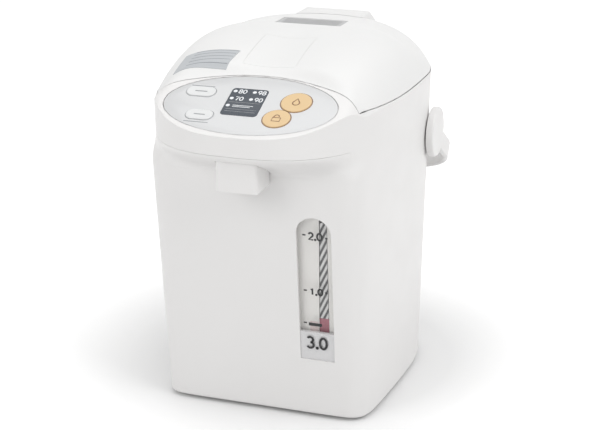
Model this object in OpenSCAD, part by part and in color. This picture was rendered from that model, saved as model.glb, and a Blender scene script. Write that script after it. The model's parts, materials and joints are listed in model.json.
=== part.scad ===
// Electric thermo pot: a 3 litre water boiler and dispenser with a leaning front,
// a hooded spout, a domed hinged lid, a swing handle and a turntable base.
// The origin is on the floor under the turntable axis. The front faces -Y.

/* [Body] */
// Half width of the body at its bottom edge
body_half_w = 98; // [92:1:110]
// Half width of the head at the lid seam
head_half_w = 102.5; // [96:0.5:114]
// Reach of the front face from the axis at the bottom edge
front_reach = 123; // [116:1:134]
// How far the front face leans out for each unit of height
front_lean = 0.115; // [0.05:0.005:0.14]
// Reach of the rear face from the axis at the bottom edge
rear_reach = 97; // [93:1:108]
// Reach of the rear face from the axis at the lid seam
head_rear_reach = 100; // [96:1:112]
// Reach of the hood's beak from the axis
beak_reach = 185; // [176:1:200]
// Height of the bottom edge over the floor
bottom_z = 3; // [2.5:0.1:4]
// Height of the joint between body and head
seam_z = 214; // [200:1:230]
// Height of the seam between head and lid
lid_seam_z = 266; // [258:1:280]
// Height of the dome's highest point
top_z = 304; // [290:1:330]
// Thickness of the moulded shells
wall = 2.5; // [2:0.1:3]

/* [Panel] */
// Half width of the control panel
panel_half_w = 70; // [66:1:74]
// Half depth of the control panel
panel_half_d = 37; // [35:0.5:39]
// Tilt of the control panel
panel_tilt = 22.1; // [18:0.1:26]
// Thickness of the control panel
panel_t = 2; // [1.5:0.1:2.5]
// Radius of the dispense key
dispense_r = 11.9; // [9:0.1:12]
// Radius of the unlock key
unlock_r = 10.7; // [8:0.1:10.8]
// Length of the upper left key
select_l = 24; // [18:0.5:25]
// Length of the lower left key
timer_l = 22; // [16:0.5:23]
// Width of both left keys
pill_w = 12; // [9:0.5:12.5]
// Travel of the keys
key_travel = 0.8; // [0.5:0.1:0.9]

/* [Water level gauge] */
// Width of the gauge opening
gauge_w = 29; // [24:0.5:32]
// Distance of the gauge opening's middle to the right of the axis
gauge_x = 50; // [44:0.5:52]
// Lowest point of the gauge opening, along the front face
gauge_low = 52; // [48:1:70]
// Highest point of the gauge opening, along the front face
gauge_high = 180; // [150:0.5:182]
// Outer radius of the gauge tube
tube_r = 5; // [4:0.1:5.5]

/* [Water container] */
// Outer radius of the container
container_r = 80; // [74:0.5:81]
// Wall of the container
container_t = 1; // [0.8:0.1:1.5]
// Height of the container's underside over the floor
container_z = 58; // [56:0.5:64]

/* [Carry handle] */
// Distance from the handle's pivot to the inside of its grip
handle_reach = 113; // [112:0.5:126]
// Thickness of the handle
handle_t = 4.6; // [4:0.1:6]
// Width of the handle
handle_w = 17; // [13:0.5:19]
// Radius of the handle's round ends
handle_boss_r = 21.5; // [18:0.5:23]
// Angle of the resting handle below the horizontal
handle_rest = 30; // [18:1:34]

/* [Turntable base] */
// Radius of the base disc
base_r = 80; // [66:1:86]
// Radius of one rubber pad
foot_r = 7; // [5:0.5:9]

/* [Hidden] */
$fn = 64;

// Small value that keeps cuts clear of the faces they pass through
eps = 0.5;
// Gap between two shells at a seam
seam_gap = 0.3;
// Radial clearance of a running fit
running = 0.05;
// Radial clearance of a pipe in its hole
pipe_gap = 0.1;

// Angles of the form's points: crowded near the front corners, even round the rear
corner_at = 53;
corner_steps = 9;
rear_steps = 24;
crowding = 1.6;
quarter = concat(
    [for (i = [0:corner_steps - 1]) corner_at * (1 - pow(1 - i / corner_steps, crowding))],
    [for (i = [0:corner_steps - 1]) corner_at
        + (90 - corner_at) * pow(i / corner_steps, crowding)]);
ANGLES = concat(
    [for (i = [0:rear_steps - 1]) 180 * i / rear_steps],
    [for (a = quarter) 180 + a], [270],
    [for (i = [len(quarter) - 1:-1:1]) 360 - quarter[i]]);

// Squareness of the body's front and rear halves and of the hood
front_square = 14;
rear_square = 2.3;
hood_square = 2.8;
// Share of its width that the body loses towards the front
front_pinch = 0.10;
// Height of the hood's lower rim
hood_z = seam_z + 24;
// Dome: place of its highest point, drop to its edge, and how full it is
apex_y = 8;
dome_drop_side = top_z - lid_seam_z;
dome_drop_front = dome_drop_side + 14;
full_side = 4.2;
full_front = 2.05;
full_shoulder = 2.4;
edge_share = 0.10;
edge_full = 16;
DOME_RINGS = [0.985, 0.955, 0.91, 0.84, 0.75, 0.63, 0.48, 0.3, 0.14];
// Middle of the control panel's face
panel_y = -(beak_reach - 38.4);
panel_z = top_z - 35;
// How far outside the panel the dome's surface is drawn to the panel's plane
panel_blend = 0.35;

function mix(a, b, t) = a + (b - a) * t;
function ease(t) = let (u = min(1, max(0, t))) u * u * (3 - 2 * u);

// Point of a rounded loop at one angle, with its own squareness for each half
function loop_point(t, half_w, front, rear, nf, nr, pinch) =
    let (c = cos(t), s = sin(t), n = s < 0 ? nf : nr, b = s < 0 ? front : rear,
        r = pow(pow(abs(c) / half_w, n) + pow(abs(s) / b, n), -1 / n),
        y = r * s, narrow = y < 0 ? 1 - pinch * pow(-y / front_reach, 1.4) : 1)
    [r * c * narrow, y];

// Outline of the pot at one angle and height; inset draws it inwards
function side_share(z) = (z - bottom_z) / (lid_seam_z - 4 - bottom_z);
function half_w_at(z) = mix(body_half_w, head_half_w, side_share(z));
function rear_at(z) = mix(rear_reach, head_rear_reach, side_share(z));
function front_at(z) = front_reach + front_lean * (z - bottom_z);
function outline_point(t, z, inset) =
    let (w = half_w_at(z) - inset, r = rear_at(z) - inset,
        body = loop_point(t, w, front_at(z) - inset, r, front_square, rear_square, front_pinch),
        head = loop_point(t, w, beak_reach - inset, r, hood_square, rear_square, 0))
    mix(body, head, ease((z - seam_z) / (hood_z - seam_z)));
function outline(z, inset) = [for (t = ANGLES) outline_point(t, z, inset)];

// Height of the dome at a plan point that lies at the share rho of its ray
function sideways(p) = let (d = p - [0, apex_y]) abs(d[1]) / norm(d);
function edge_drop(p) = p[1] < apex_y
    ? mix(dome_drop_side, dome_drop_front, pow(sideways(p), 8)) : dome_drop_side;
function fullness(p) = let (s = sideways(p)) p[1] < apex_y
    ? mix(full_side, full_front, pow(s, 4)) + full_shoulder * pow(4 * s * (1 - s), 1.5) : full_side;
function plain_dome(p, rho) =
    top_z - edge_drop(p) * ((1 - edge_share) * pow(rho, fullness(p)) + edge_share * pow(rho, edge_full));
// The panel's plane, and how strongly it draws the dome at a plan point
function panel_plane(y) = panel_z + (y - panel_y) * tan(panel_tilt);
function panel_pull(p) =
    let (s = (p[1] - panel_y) / cos(panel_tilt),
        e = norm([p[0] / panel_half_w, s / panel_half_d]))
    1 - ease((e - 1.02) / panel_blend);
function dome_z(p, rho) = mix(plain_dome(p, rho), panel_plane(p[1]), panel_pull(p));
function edge_z(t) = let (p = outline_point(t, lid_seam_z - 4, 0)) dome_z(p, 1);

// Closed solid from stacked rings of points, all with as many points as ANGLES
module rings_solid(rings) {
    n = len(ANGLES);
    m = len(rings);
    polyhedron(
        points = [for (r = rings) each r],
        faces = concat([[for (i = [0:n - 1]) i]], [[for (i = [n - 1:-1:0]) (m - 1) * n + i]],
            [for (k = [0:m - 2]) for (i = [0:n - 1]) let (a = k * n + i, b = k * n + (i + 1) % n)
                each [[a, a + n, b], [b, a + n, b + n]]]));
}

// The head from the body seam to the top of the dome, drawn inwards by inset
module head_form(inset = 0, low_z = seam_z) {
    wall_rings = [for (z = [low_z, seam_z + 6, seam_z + 11, seam_z + 15, seam_z + 19, hood_z])
        [for (t = ANGLES) concat(outline_point(t, z, inset), z)]];
    edge_rings = [for (f = [0.5, 1]) [for (t = ANGLES)
        let (z = mix(hood_z, edge_z(t) - inset, f)) concat(outline_point(t, z, inset), z)]];
    dome_rings = [for (rho = DOME_RINGS) [for (t = ANGLES)
        let (rim = outline_point(t, edge_z(t), inset),
            p = [0, apex_y] + (rim - [0, apex_y]) * rho)
        concat(p, dome_z(p, rho) - inset)]];
    rings_solid(concat(wall_rings, edge_rings, dome_rings));
}

// Keeps a freeform shell as one mesh
module freeform() {
    resize([0, 0, 0]) children();
}

// Prism of the pot's outline between two heights
module outline_prism(z, h, inset) {
    translate([0, 0, z]) linear_extrude(h) polygon(outline(z, inset));
}

// Frame of the control panel: X across, Y up the slope, Z out of its face
module on_panel() {
    translate([0, panel_y, panel_z]) rotate([panel_tilt, 0, 0]) children();
}

// Frame of the front face: X across, Y into the pot, Z up along the face
lean_deg = atan(front_lean);
module on_front() {
    translate([0, -front_reach, bottom_z]) rotate([lean_deg, 0, 0]) children();
}
// Place on the front frame as a place in the pot's frame
function from_front(depth, up) = [
    -front_reach + depth * cos(lean_deg) - up * sin(lean_deg),
    bottom_z + depth * sin(lean_deg) + up * cos(lean_deg)];

module ring(r_out, r_in, z, h) {
    translate([0, 0, z]) difference() {
        cylinder(r = r_out, h = h);
        translate([0, 0, -eps]) cylinder(r = r_in, h = h + 2 * eps);
    }
}

// Straight rod between two points
module rod(a, b, r) {
    d = b - a;
    translate(a) rotate([0, acos(d[2] / norm(d)), atan2(d[1], d[0])]) cylinder(r = r, h = norm(d));
}
// An elbow's radius as a share of its pipe's
elbow_swell = 1.06;
// Hollow pipe along a list of points, with a rounded elbow at each bend
module pipe_run(points, r_out, r_in) {
    last = len(points) - 1;
    lead = (points[0] - points[1]) / norm(points[0] - points[1]);
    tail = (points[last] - points[last - 1]) / norm(points[last] - points[last - 1]);
    bore = [for (i = [0:last]) i == 0 ? points[0] + eps * lead
        : i == last ? points[last] + eps * tail : points[i]];
    difference() {
        union() {
            for (i = [0:last - 1]) rod(points[i], points[i + 1], r_out);
            for (i = [1:last - 1]) translate(points[i]) sphere(r = r_out * elbow_swell);
        }
        for (i = [0:last - 1]) rod(bore[i], bore[i + 1], r_in);
        for (i = [1:last - 1]) translate(points[i]) sphere(r = r_in * elbow_swell);
    }
}

// ---- Turntable base -------------------------------------------------------
pad_t = 1.5;
disc_t = 3.5;
disc_top = pad_t + disc_t;
hub_r = 12;
hub_top = 10;
pad_circle_r = base_r - 12;
pad_count = 5;
centre_pad_r = 14;
cover_z = bottom_z + 3;
cover_t = 2.5;
glide_r = 59;
glide_w = 6;
swivel_screw_r = 2;

module base_disc() {
    color("gainsboro") difference() {
        union() {
            translate([0, 0, pad_t]) cylinder(r = base_r, h = disc_t);
            cylinder(r = hub_r, h = hub_top);
        }
        translate([0, 0, -eps]) cylinder(r = centre_pad_r + running, h = pad_t + eps);
        translate([0, 0, disc_top]) cylinder(r = swivel_screw_r, h = hub_top);
    }
}

module rubber_feet() {
    color("dimgray") {
        cylinder(r = centre_pad_r, h = pad_t);
        for (i = [0:pad_count - 1]) rotate([0, 0, 90 + i * 360 / pad_count])
            translate([pad_circle_r, 0, 0]) cylinder(r = foot_r, h = pad_t);
    }
}

module glide_ring() {
    color("white") ring(glide_r + glide_w / 2, glide_r - glide_w / 2, disc_top,
        cover_z - disc_top - running);
}

swivel_washer_r = 18;
swivel_washer_t = 1.5;
module swivel_fixings() {
    color("silver") {
        ring(swivel_washer_r, swivel_screw_r + running, hub_top, swivel_washer_t);
        translate([0, 0, disc_top + 1]) cylinder(r = swivel_screw_r, h = hub_top - disc_top + 0.5);
        translate([0, 0, hub_top + swivel_washer_t]) cylinder(r = 4, h = 2.5);
    }
}

// ---- Bottom of the pot ----------------------------------------------------
boss_r = 20;
boss_top = hub_top - 0.3;
support_r = 3;
support_circle_r = container_r;
SUPPORT_ANGLES = [50, 130, 220, -4];
shield_z = container_z - 8;
pump_x = 44;
pump_y = -54;
pump_r = 18;
pump_z = 36;
pump_h = 14;
motor_r = 13;
motor_z = 14;
cradle_h = 8;
screw_circle_x = 80;
screw_y = 45;
board_w = 68;
board_y = 40;
board_d = 34;
board_z = 20;
post_r = 4;
corner_bosses = [for (x = [-screw_circle_x, screw_circle_x]) for (y = [-screw_y, screw_y]) [x, y]];
power_posts = [for (x = [-1, 1]) for (y = [6, board_d - 6]) [x * (board_w / 2 - 6), board_y + y]];

module bottom_cover() {
    color("whitesmoke") difference() {
        union() {
            outline_prism(cover_z, cover_t, wall + seam_gap);
            translate([0, 0, cover_z]) cylinder(r = boss_r, h = boss_top - cover_z);
            for (a = SUPPORT_ANGLES) rotate([0, 0, a]) translate([support_circle_r, 0, cover_z])
                cylinder(r = support_r, h = shield_z - cover_z);
            for (p = power_posts) translate([p[0], p[1], cover_z])
                cylinder(r = post_r, h = board_z - cover_z);
            translate([pump_x, pump_y, cover_z]) cylinder(r = motor_r + 2, h = cradle_h + cover_t);
        }
        translate([0, 0, cover_z - eps]) cylinder(r = hub_r + 0.08, h = boss_top);
        translate([pump_x, pump_y, motor_z - 2]) cylinder(r = motor_r + running, h = cradle_h);
        for (p = corner_bosses) translate([p[0], p[1], cover_z - eps]) cylinder(r = 2, h = 5);
    }
}

module bottom_screws() {
    color("silver") for (p = corner_bosses) translate([p[0], p[1], cover_z - 1.8]) {
        cylinder(r = 3.5, h = 1.8);
        cylinder(r = 1.8, h = 9);
    }
}

// ---- Outer body -----------------------------------------------------------
body_top = seam_z - 0.2;
handle_y = 25;
handle_z = 212;
handle_pin_r = 6;
socket_z = 38;
socket_w = 34;
socket_h = 22;
socket_open_w = 26;
socket_open_h = 14;

// Arch-topped slab over the gauge opening, in the front face's frame
module gauge_slab(depth, t, grow) {
    top_r = gauge_w / 2;
    translate([0, depth + t, 0]) rotate([90, 0, 0]) linear_extrude(t) union() {
        translate([gauge_x - top_r - grow, gauge_low - grow])
            square([gauge_w + 2 * grow, gauge_high - top_r - gauge_low + grow]);
        translate([gauge_x, gauge_high - top_r]) circle(r = top_r + grow);
    }
}

module body_shell() {
    edge = [[bottom_z, 2], [bottom_z + 2.5, 0.3], [12, 0]];
    levels = concat(edge, [for (z = [60:45:195]) [z, 0]], [[body_top, 0]]);
    freeform() difference() {
        rings_solid([for (l = levels) [for (t = ANGLES) concat(outline_point(t, l[0], l[1]), l[0])]]);
        rings_solid([for (l = levels) let (z = l[0] == bottom_z ? l[0] - eps
                : l[0] == body_top ? l[0] + eps : l[0])
            [for (t = ANGLES) concat(outline_point(t, l[0], wall), z)]]);
    }
}

boss_h = 12;
web_t = 3;
// Holes for the handle's pins, which lie across the seam between body and head
module pin_holes() {
    for (x = [-1, 1]) translate([x * (body_half_w - 18), handle_y, handle_z])
        rotate([0, x * 90, 0]) cylinder(r = handle_pin_r + running, h = 40);
}
module outer_body() {
    color("white") difference() {
        body_shell();
        on_front() gauge_slab(-5, 12, 0);
        translate([-socket_w / 2, rear_reach - 20, socket_z - socket_h / 2])
            cube([socket_w, 40, socket_h]);
        pin_holes();
    }
    color("white") for (p = corner_bosses) difference() {
        union() {
            translate([p[0], p[1], cover_z + cover_t]) cylinder(r = 5, h = boss_h);
            intersection() {
                translate([p[0] > 0 ? p[0] : p[0] - 40, p[1] - web_t / 2, cover_z + cover_t])
                    cube([40, web_t, boss_h]);
                outline_prism(cover_z + cover_t, boss_h, wall / 2);
            }
        }
        translate([p[0], p[1], cover_z]) cylinder(r = 1.8 + running, h = 10);
    }
}

// ---- Head -----------------------------------------------------------------
lid_front = 111;
lid_front_drop = 23;
deck_t = 2.5;
deck_hole_r = container_r;
lid_low = lid_seam_z + seam_gap;
cover_half_w = 80;
cover_rear = 126;
panel_seat_t = 2;
guard_half_w = 17;
guard_front = beak_reach - 7;
guard_rear = guard_front - 30;
guard_low = seam_z - 6;
guard_top = hood_z - 6.5;
nozzle_y = -(beak_reach - 22);

// Plan of the lid: a bowed front edge and everything behind it
module lid_plan(grow = 0) {
    reach = head_half_w + 20;
    polygon(concat(
        [for (x = [-reach:reach / 16:reach])
            [x, -lid_front - lid_front_drop * pow(x / 82, 2) - grow]],
        [[reach, reach], [-reach, reach]]));
}
module panel_ellipse(z, h, grow) {
    on_panel() translate([0, 0, z]) linear_extrude(h)
        polygon([for (a = [0:5:355]) [(panel_half_w + grow) * cos(a), (panel_half_d + grow) * sin(a)]]);
}
module head_cavity() {
    difference() {
        head_form(wall, seam_z - eps);
        on_panel() translate([-200, -200, -panel_t - panel_seat_t]) cube([400, 400, 100]);
        translate([0, 0, lid_seam_z - deck_t]) linear_extrude(100) lid_plan(wall);
    }
}
module spout_block(grow) {
    top = hood_z - (grow > 0 ? 0 : 0.2);
    translate([-cover_half_w - grow, -beak_reach - 10, seam_z - 1])
        cube([2 * (cover_half_w + grow), beak_reach + 10 - cover_rear + grow, top - seam_z + 1]);
}

module top_casing() {
    color("white") difference() {
        freeform() difference() {
            head_form();
            head_cavity();
            translate([0, 0, lid_seam_z]) linear_extrude(100) lid_plan();
            spout_block(0.2);
            panel_ellipse(-panel_t, 60, 0.15);
        }
        panel_ellipse(-20, 30, -5);
        translate([0, 0, lid_seam_z - deck_t - eps]) cylinder(r = deck_hole_r, h = 10);
        translate([-9, -lid_front - 4, latch_z - 0.4]) cube([18, 10, latch_t + 0.8]);
        pin_holes();
    }
}

module spout_cover() {
    color("gainsboro") difference() {
        freeform() intersection() {
            difference() {
                head_form();
                head_form(wall, seam_z - eps);
            }
            spout_block(0);
        }
        translate([-guard_half_w - 0.2, -guard_front - 0.2, guard_low - eps])
            cube([2 * guard_half_w + 0.4, guard_front - guard_rear + 0.4, 60]);
    }
}

nozzle_r = 7;
nozzle_low = guard_low + 2;
guard_t = 2;
pipe_in_r = 3.5;
module spout_guard() {
    color("whitesmoke") difference() {
        translate([-guard_half_w, -guard_front, guard_low])
            cube([2 * guard_half_w, guard_front - guard_rear, guard_top - guard_low]);
        translate([-guard_half_w + guard_t, -guard_front + guard_t, guard_low - eps])
            cube([2 * (guard_half_w - guard_t), guard_front - guard_rear - 2 * guard_t,
                guard_top - guard_low - guard_t + eps]);
        translate([0, nozzle_y, guard_low]) cylinder(r = tube_r + pipe_gap, h = 60);
    }
}
module spout_nozzle() {
    color("gray") translate([0, nozzle_y, 0]) difference() {
        translate([0, 0, nozzle_low]) cylinder(r = nozzle_r, h = guard_top - guard_t - nozzle_low);
        translate([0, 0, nozzle_low - eps]) cylinder(r = pipe_in_r, h = 60);
        translate([0, 0, guard_top - guard_t - 7]) cylinder(r = tube_r + running, h = 20);
    }
}

// ---- Water path -----------------------------------------------------------
tube_x = gauge_x + 4.5;
tube_depth = 12.5;
tube_low = 50.4;
tube_high = 200;
valve_r = 8;
valve_z = from_front(tube_depth, tube_high)[1] + 1.6;
valve_h = 27.5;
valve_y = from_front(tube_depth, tube_high)[0];
ball_r = 4;
chamber_r = 5.5;
chamber_z = 6;
chamber_h = 10;
// Height of a ball's centre over the edge of the bore that it closes
function seated(r, bore_r) = sqrt(r * r - bore_r * bore_r) + 0.1;
outlet_z = valve_z + valve_h + 8;

module outlet_pipe() {
    color("lightgray") freeform() pipe_run([[tube_x, valve_y, valve_z + valve_h],
        [tube_x, valve_y, outlet_z], [0, valve_y, outlet_z], [0, nozzle_y, outlet_z],
        [0, nozzle_y, guard_top - guard_t - 6.8]], tube_r, pipe_in_r, $fn = 24);
}
module tip_valve() {
    color("whitesmoke") translate([tube_x, valve_y, valve_z]) difference() {
        cylinder(r = valve_r, h = valve_h);
        translate([0, 0, -eps]) cylinder(r = pipe_in_r, h = 60);
        translate([0, 0, chamber_z]) cylinder(r = chamber_r, h = chamber_h);
    }
}
module tip_ball() {
    color("silver") translate([tube_x, valve_y, valve_z + chamber_z + seated(ball_r, pipe_in_r)])
        sphere(r = ball_r);
}

module gauge_tube() {
    color("azure") on_front() translate([tube_x, tube_depth, 0])
        ring(tube_r, pipe_in_r, tube_low, tube_high - tube_low);
}
seal_h = 7;
seal_r = 8;
module tube_seals() {
    color("lightgray") on_front() translate([tube_x, tube_depth, 0]) {
        ring(seal_r, tube_r + running, tube_low - 0.2, seal_h);
        ring(seal_r, tube_r + running, tube_high - seal_h, seal_h);
    }
}
window_t = 1.8;
tray_low = 60;
tray_high = 184;
tray_t = 1.2;
tray_depth = 20;
module gauge_window() {
    color("azure") on_front() {
        gauge_slab(0.4, window_t, -0.2);
        gauge_slab(wall + 0.6, 1, 3);
        gauge_slab(0.4 + window_t, wall + 0.2 - window_t, -1);
    }
}
module gauge_plate() {
    w = gauge_w + 6;
    front = wall + 1.6;
    color("lightgray") on_front() difference() {
        translate([gauge_x - w / 2, front, tray_low]) cube([w, tray_depth - front, tray_high - tray_low]);
        translate([gauge_x - w / 2 + tray_t, front - eps, tray_low + tray_t])
            cube([w - 2 * tray_t, tray_depth - front - tray_t + eps, tray_high - tray_low - 2 * tray_t]);
        translate([tube_x, tube_depth, 0]) cylinder(r = tube_r + pipe_gap, h = 300);
    }
}

module inner_container() {
    top = lid_seam_z - deck_t - 7 - 1.5;
    color("silver") difference() {
        rotate_extrude() polygon([[0, container_z], [container_r, container_z], [container_r, top],
            [container_r + 4, top], [container_r + 4, top + 1.5], [container_r - container_t, top + 1.5],
            [container_r - container_t, container_z + container_t], [0, container_z + container_t]]);
        translate([pump_x, pump_y, container_z - eps]) cylinder(r = tube_r, h = 3);
    }
}
mouth_z = lid_seam_z - deck_t - 7;
mouth_in_r = container_r - 10;
mouth_wall_r = container_r - 2;
module mouth_ring() {
    color("dimgray") rotate_extrude() polygon([[mouth_in_r, mouth_z], [container_r + 6, mouth_z],
        [container_r + 6, mouth_z + 7], [mouth_wall_r, mouth_z + 7], [mouth_wall_r, mouth_z + 2],
        [mouth_in_r, mouth_z + 2]]);
}
module heat_shield() {
    r = container_r + 4;
    color("lightgray") rotate_extrude() polygon([[r - 7, shield_z], [r, shield_z], [r, mouth_z - 1.5],
        [r - 1, mouth_z - 1.5], [r - 1, shield_z + 1], [r - 7, shield_z + 1]]);
}
heater_r = container_r - 20;
heater_t = 5;
thermostat_r = 12;
module heater_plate() {
    color("darkgray") ring(heater_r, thermostat_r + 0.5, container_z - heater_t, heater_t);
}
module thermostat() {
    color("sienna") {
        translate([0, 0, container_z - 4]) cylinder(r = thermostat_r, h = 4);
        translate([0, 0, container_z - 11]) cylinder(r = 8, h = 7);
    }
}
module thermal_fuse() {
    color("beige") translate([-30, -6, container_z - heater_t - 4]) cube([7, 12, 4]);
}

impeller_z = pump_z + 3.5;
impeller_r = 13;
port_z = pump_z + 7;
port_x = tube_x;
hose_r = 7;
module pump_housing() {
    color("lightgray") difference() {
        union() {
            translate([pump_x, pump_y, pump_z]) cylinder(r = pump_r, h = pump_h);
            translate([port_x, pump_y, port_z]) rotate([90, 0, 0]) cylinder(r = tube_r, h = pump_r + 4);
        }
        translate([pump_x, pump_y, pump_z + 2.5]) cylinder(r = pump_r - 3, h = pump_h - 5);
        translate([pump_x, pump_y, pump_z + 5]) cylinder(r = tube_r, h = pump_h);
        translate([port_x, pump_y - 6, port_z]) rotate([90, 0, 0]) cylinder(r = pipe_in_r, h = 60);
    }
    color("silver") translate([pump_x, pump_y, pump_z + 2.5]) cylinder(r = 1.5, h = 7.5);
}
module pump_impeller() {
    color("ivory") translate([pump_x, pump_y, impeller_z]) difference() {
        union() {
            cylinder(r = impeller_r, h = 1.5);
            cylinder(r = 4, h = 5.5);
            for (a = [0:60:300]) rotate([0, 0, a]) translate([2, -0.6, 0]) cube([impeller_r - 3, 1.2, 5]);
        }
        translate([0, 0, -eps]) cylinder(r = 1.5 + running, h = 10);
    }
}
module pump_motor() {
    color("gray") translate([pump_x, pump_y, motor_z]) cylinder(r = motor_r, h = pump_z - motor_z);
}
module suction_pipe() {
    color("lightgray") translate([pump_x, pump_y, 0])
        ring(tube_r + 1, tube_r - 1, pump_z + pump_h, container_z - pump_z - pump_h);
}
module delivery_hose() {
    low = from_front(tube_depth, tube_low);
    color("lightgray") pipe_run([[port_x, pump_y - pump_r - 1, port_z], [port_x, low[0], port_z],
        [port_x, low[0], low[1] - 1.2]], hose_r, tube_r + running);
}

// ---- Electrics ------------------------------------------------------------
module power_board() {
    color("seagreen") {
        translate([-board_w / 2, board_y, board_z]) cube([board_w, board_d, 1.6]);
        translate([-board_w / 2 + 6, board_y + 6, board_z + 1.6]) cube([20, 20, 16]);
        for (x = [4, 18]) translate([x, board_y + 17, board_z + 1.6]) cylinder(r = 5, h = 14);
    }
}
module inlet_socket() {
    w = socket_w - 0.6;
    h = socket_h - 0.6;
    depth = 16;
    color("dimgray") difference() {
        translate([-w / 2, rear_reach - depth + 1, socket_z - h / 2]) cube([w, depth, h]);
        translate([-socket_open_w / 2, rear_reach - 12, socket_z - socket_open_h / 2])
            cube([socket_open_w, 40, socket_open_h]);
        for (x = [-7, 7]) translate([x, rear_reach - 30, socket_z]) rotate([-90, 0, 0])
            cylinder(r = 2 + running, h = 20);
    }
}
module socket_pins() {
    color("gold") for (x = [-7, 7]) translate([x, rear_reach - 23, socket_z]) rotate([-90, 0, 0])
        cylinder(r = 2, h = 18);
}

// ---- Control panel --------------------------------------------------------
key_gap = 0.15;
key_flange = 0.35;
DISPENSE_AT = [35.5, 7.6];
UNLOCK_AT = [26.4, -14.2];
SELECT_AT = [-44, 12.1];
TIMER_AT = [-35, -17];
DISPLAY_LOW = [-20, -14.5];
DISPLAY_SIZE = [30, 35];
BOSSES = [[45.5, -19], [46, -8], [-17, -21], [-46, -2]];
LAMPS = [[-16.9, 16.2], [-1.1, 16.2], [-16.9, 6.9], [-1.1, 6.9], [-16.9, -2.4]];
board_top = -11;
board_half_w = 49;
board_low = -25;
board_high = 19;
lamp_r = 1.4;

module stadium(l, w) {
    square([l - w, w], center = true);
    for (x = [-1, 1]) translate([x * (l - w) / 2, 0]) circle(r = w / 2);
}
module key_holes() {
    translate(DISPENSE_AT) circle(r = dispense_r + key_gap);
    translate(UNLOCK_AT) circle(r = unlock_r + key_gap);
    translate(SELECT_AT) stadium(select_l + 2 * key_gap, pill_w + 2 * key_gap);
    translate(TIMER_AT) stadium(timer_l + 2 * key_gap, pill_w + 2 * key_gap);
}
module operation_panel() {
    boss_h = -board_top - panel_t;
    color("lightsteelblue") on_panel() difference() {
        union() {
            translate([0, 0, -panel_t]) linear_extrude(panel_t) polygon(
                [for (a = [0:5:355]) [panel_half_w * cos(a), panel_half_d * sin(a)]]);
            for (b = BOSSES) translate([b[0], b[1], board_top]) cylinder(r = 2.5, h = boss_h);
        }
        translate([0, 0, -panel_t - eps]) linear_extrude(10) key_holes();
        translate([DISPLAY_LOW[0], DISPLAY_LOW[1], -panel_t - eps])
            cube([DISPLAY_SIZE[0], DISPLAY_SIZE[1], 10]);
        for (b = BOSSES) translate([b[0], b[1], board_top - eps]) cylinder(r = 1.3 + running, h = 7);
    }
}
module display_window() {
    color("darkslategray") on_panel() translate([DISPLAY_LOW[0] + 0.15, DISPLAY_LOW[1] + 0.15, -panel_t])
        cube([DISPLAY_SIZE[0] - 0.3, DISPLAY_SIZE[1] - 0.3, panel_t + 0.1]);
}
module control_board() {
    color("seagreen") on_panel() difference() {
        translate([-board_half_w, board_low, board_top - 1.6])
            cube([2 * board_half_w, board_high - board_low, 1.6]);
        for (b = BOSSES) translate([b[0], b[1], board_top - 5]) cylinder(r = 1.3 + pipe_gap, h = 9);
    }
}
module board_screws() {
    color("silver") on_panel() for (b = BOSSES) translate([b[0], b[1], board_top - 1.6]) {
        translate([0, 0, -2]) cylinder(r = 2.5, h = 2);
        cylinder(r = 1.3, h = 7);
    }
}
switch_top = -7.5;
module key_switches() {
    color("black") on_panel() for (p = [DISPENSE_AT, UNLOCK_AT, SELECT_AT, TIMER_AT])
        translate([p[0] - 3, p[1] - 3, board_top]) cube([6, 6, switch_top - board_top]);
}
module led_lamps() {
    color("tomato") on_panel() for (p = LAMPS) translate([p[0], p[1], board_top])
        cylinder(r = lamp_r, h = -board_top - panel_t - 0.3);
}
key_proud = 0.8;
flange_t = 1.2;
flange_gap = 0.1;
flange_z = -panel_t - flange_gap;
stem_low = switch_top + key_travel + 0.3;
module key_body(at) {
    on_panel() translate([at[0], at[1], 0]) {
        translate([0, 0, flange_z]) linear_extrude(key_proud - flange_z) children(0);
        translate([0, 0, flange_z - flange_t]) linear_extrude(flange_t) children(1);
        translate([0, 0, stem_low]) cylinder(r = 2, h = flange_z - flange_t - stem_low);
    }
}
module key_dispense() {
    color("#fbcf8e") key_body(DISPENSE_AT) {
        circle(r = dispense_r);
        circle(r = dispense_r + key_flange);
    }
}
module key_unlock() {
    color("#fbcf8e") key_body(UNLOCK_AT) {
        circle(r = unlock_r);
        circle(r = unlock_r + key_flange);
    }
}
module key_select() {
    color("whitesmoke") key_body(SELECT_AT) {
        stadium(select_l, pill_w);
        stadium(select_l + 1, pill_w + 1);
    }
}
module key_timer() {
    color("whitesmoke") key_body(TIMER_AT) {
        stadium(timer_l, pill_w);
        stadium(timer_l + 1, pill_w + 1);
    }
}

// ---- Lid ------------------------------------------------------------------
axis_y = head_rear_reach + 5.5;
axis_z = lid_seam_z - 1.5;
knuckle_r = 5;
hinge_pin_r = 2.5;
lid_knuckle_half = 27.5;
bracket_low = 28;
bracket_high = 36;
latch_z = lid_low + seam_gap + 2.1;
latch_t = 5;
base_plate_t = 2;
base_plate_z = lid_low + seam_gap;
lever_half_w = 22;
lever_front = -102;
lever_rear = -46;
lever_t = 2.2;
lever_pin_y = lever_rear - 3;
lever_pin_z = top_z - 14;
lever_pin_r = 1.5;
vent_at = [-1, 10];
vent_size = [58, 25];
duct_r = 11;

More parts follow.
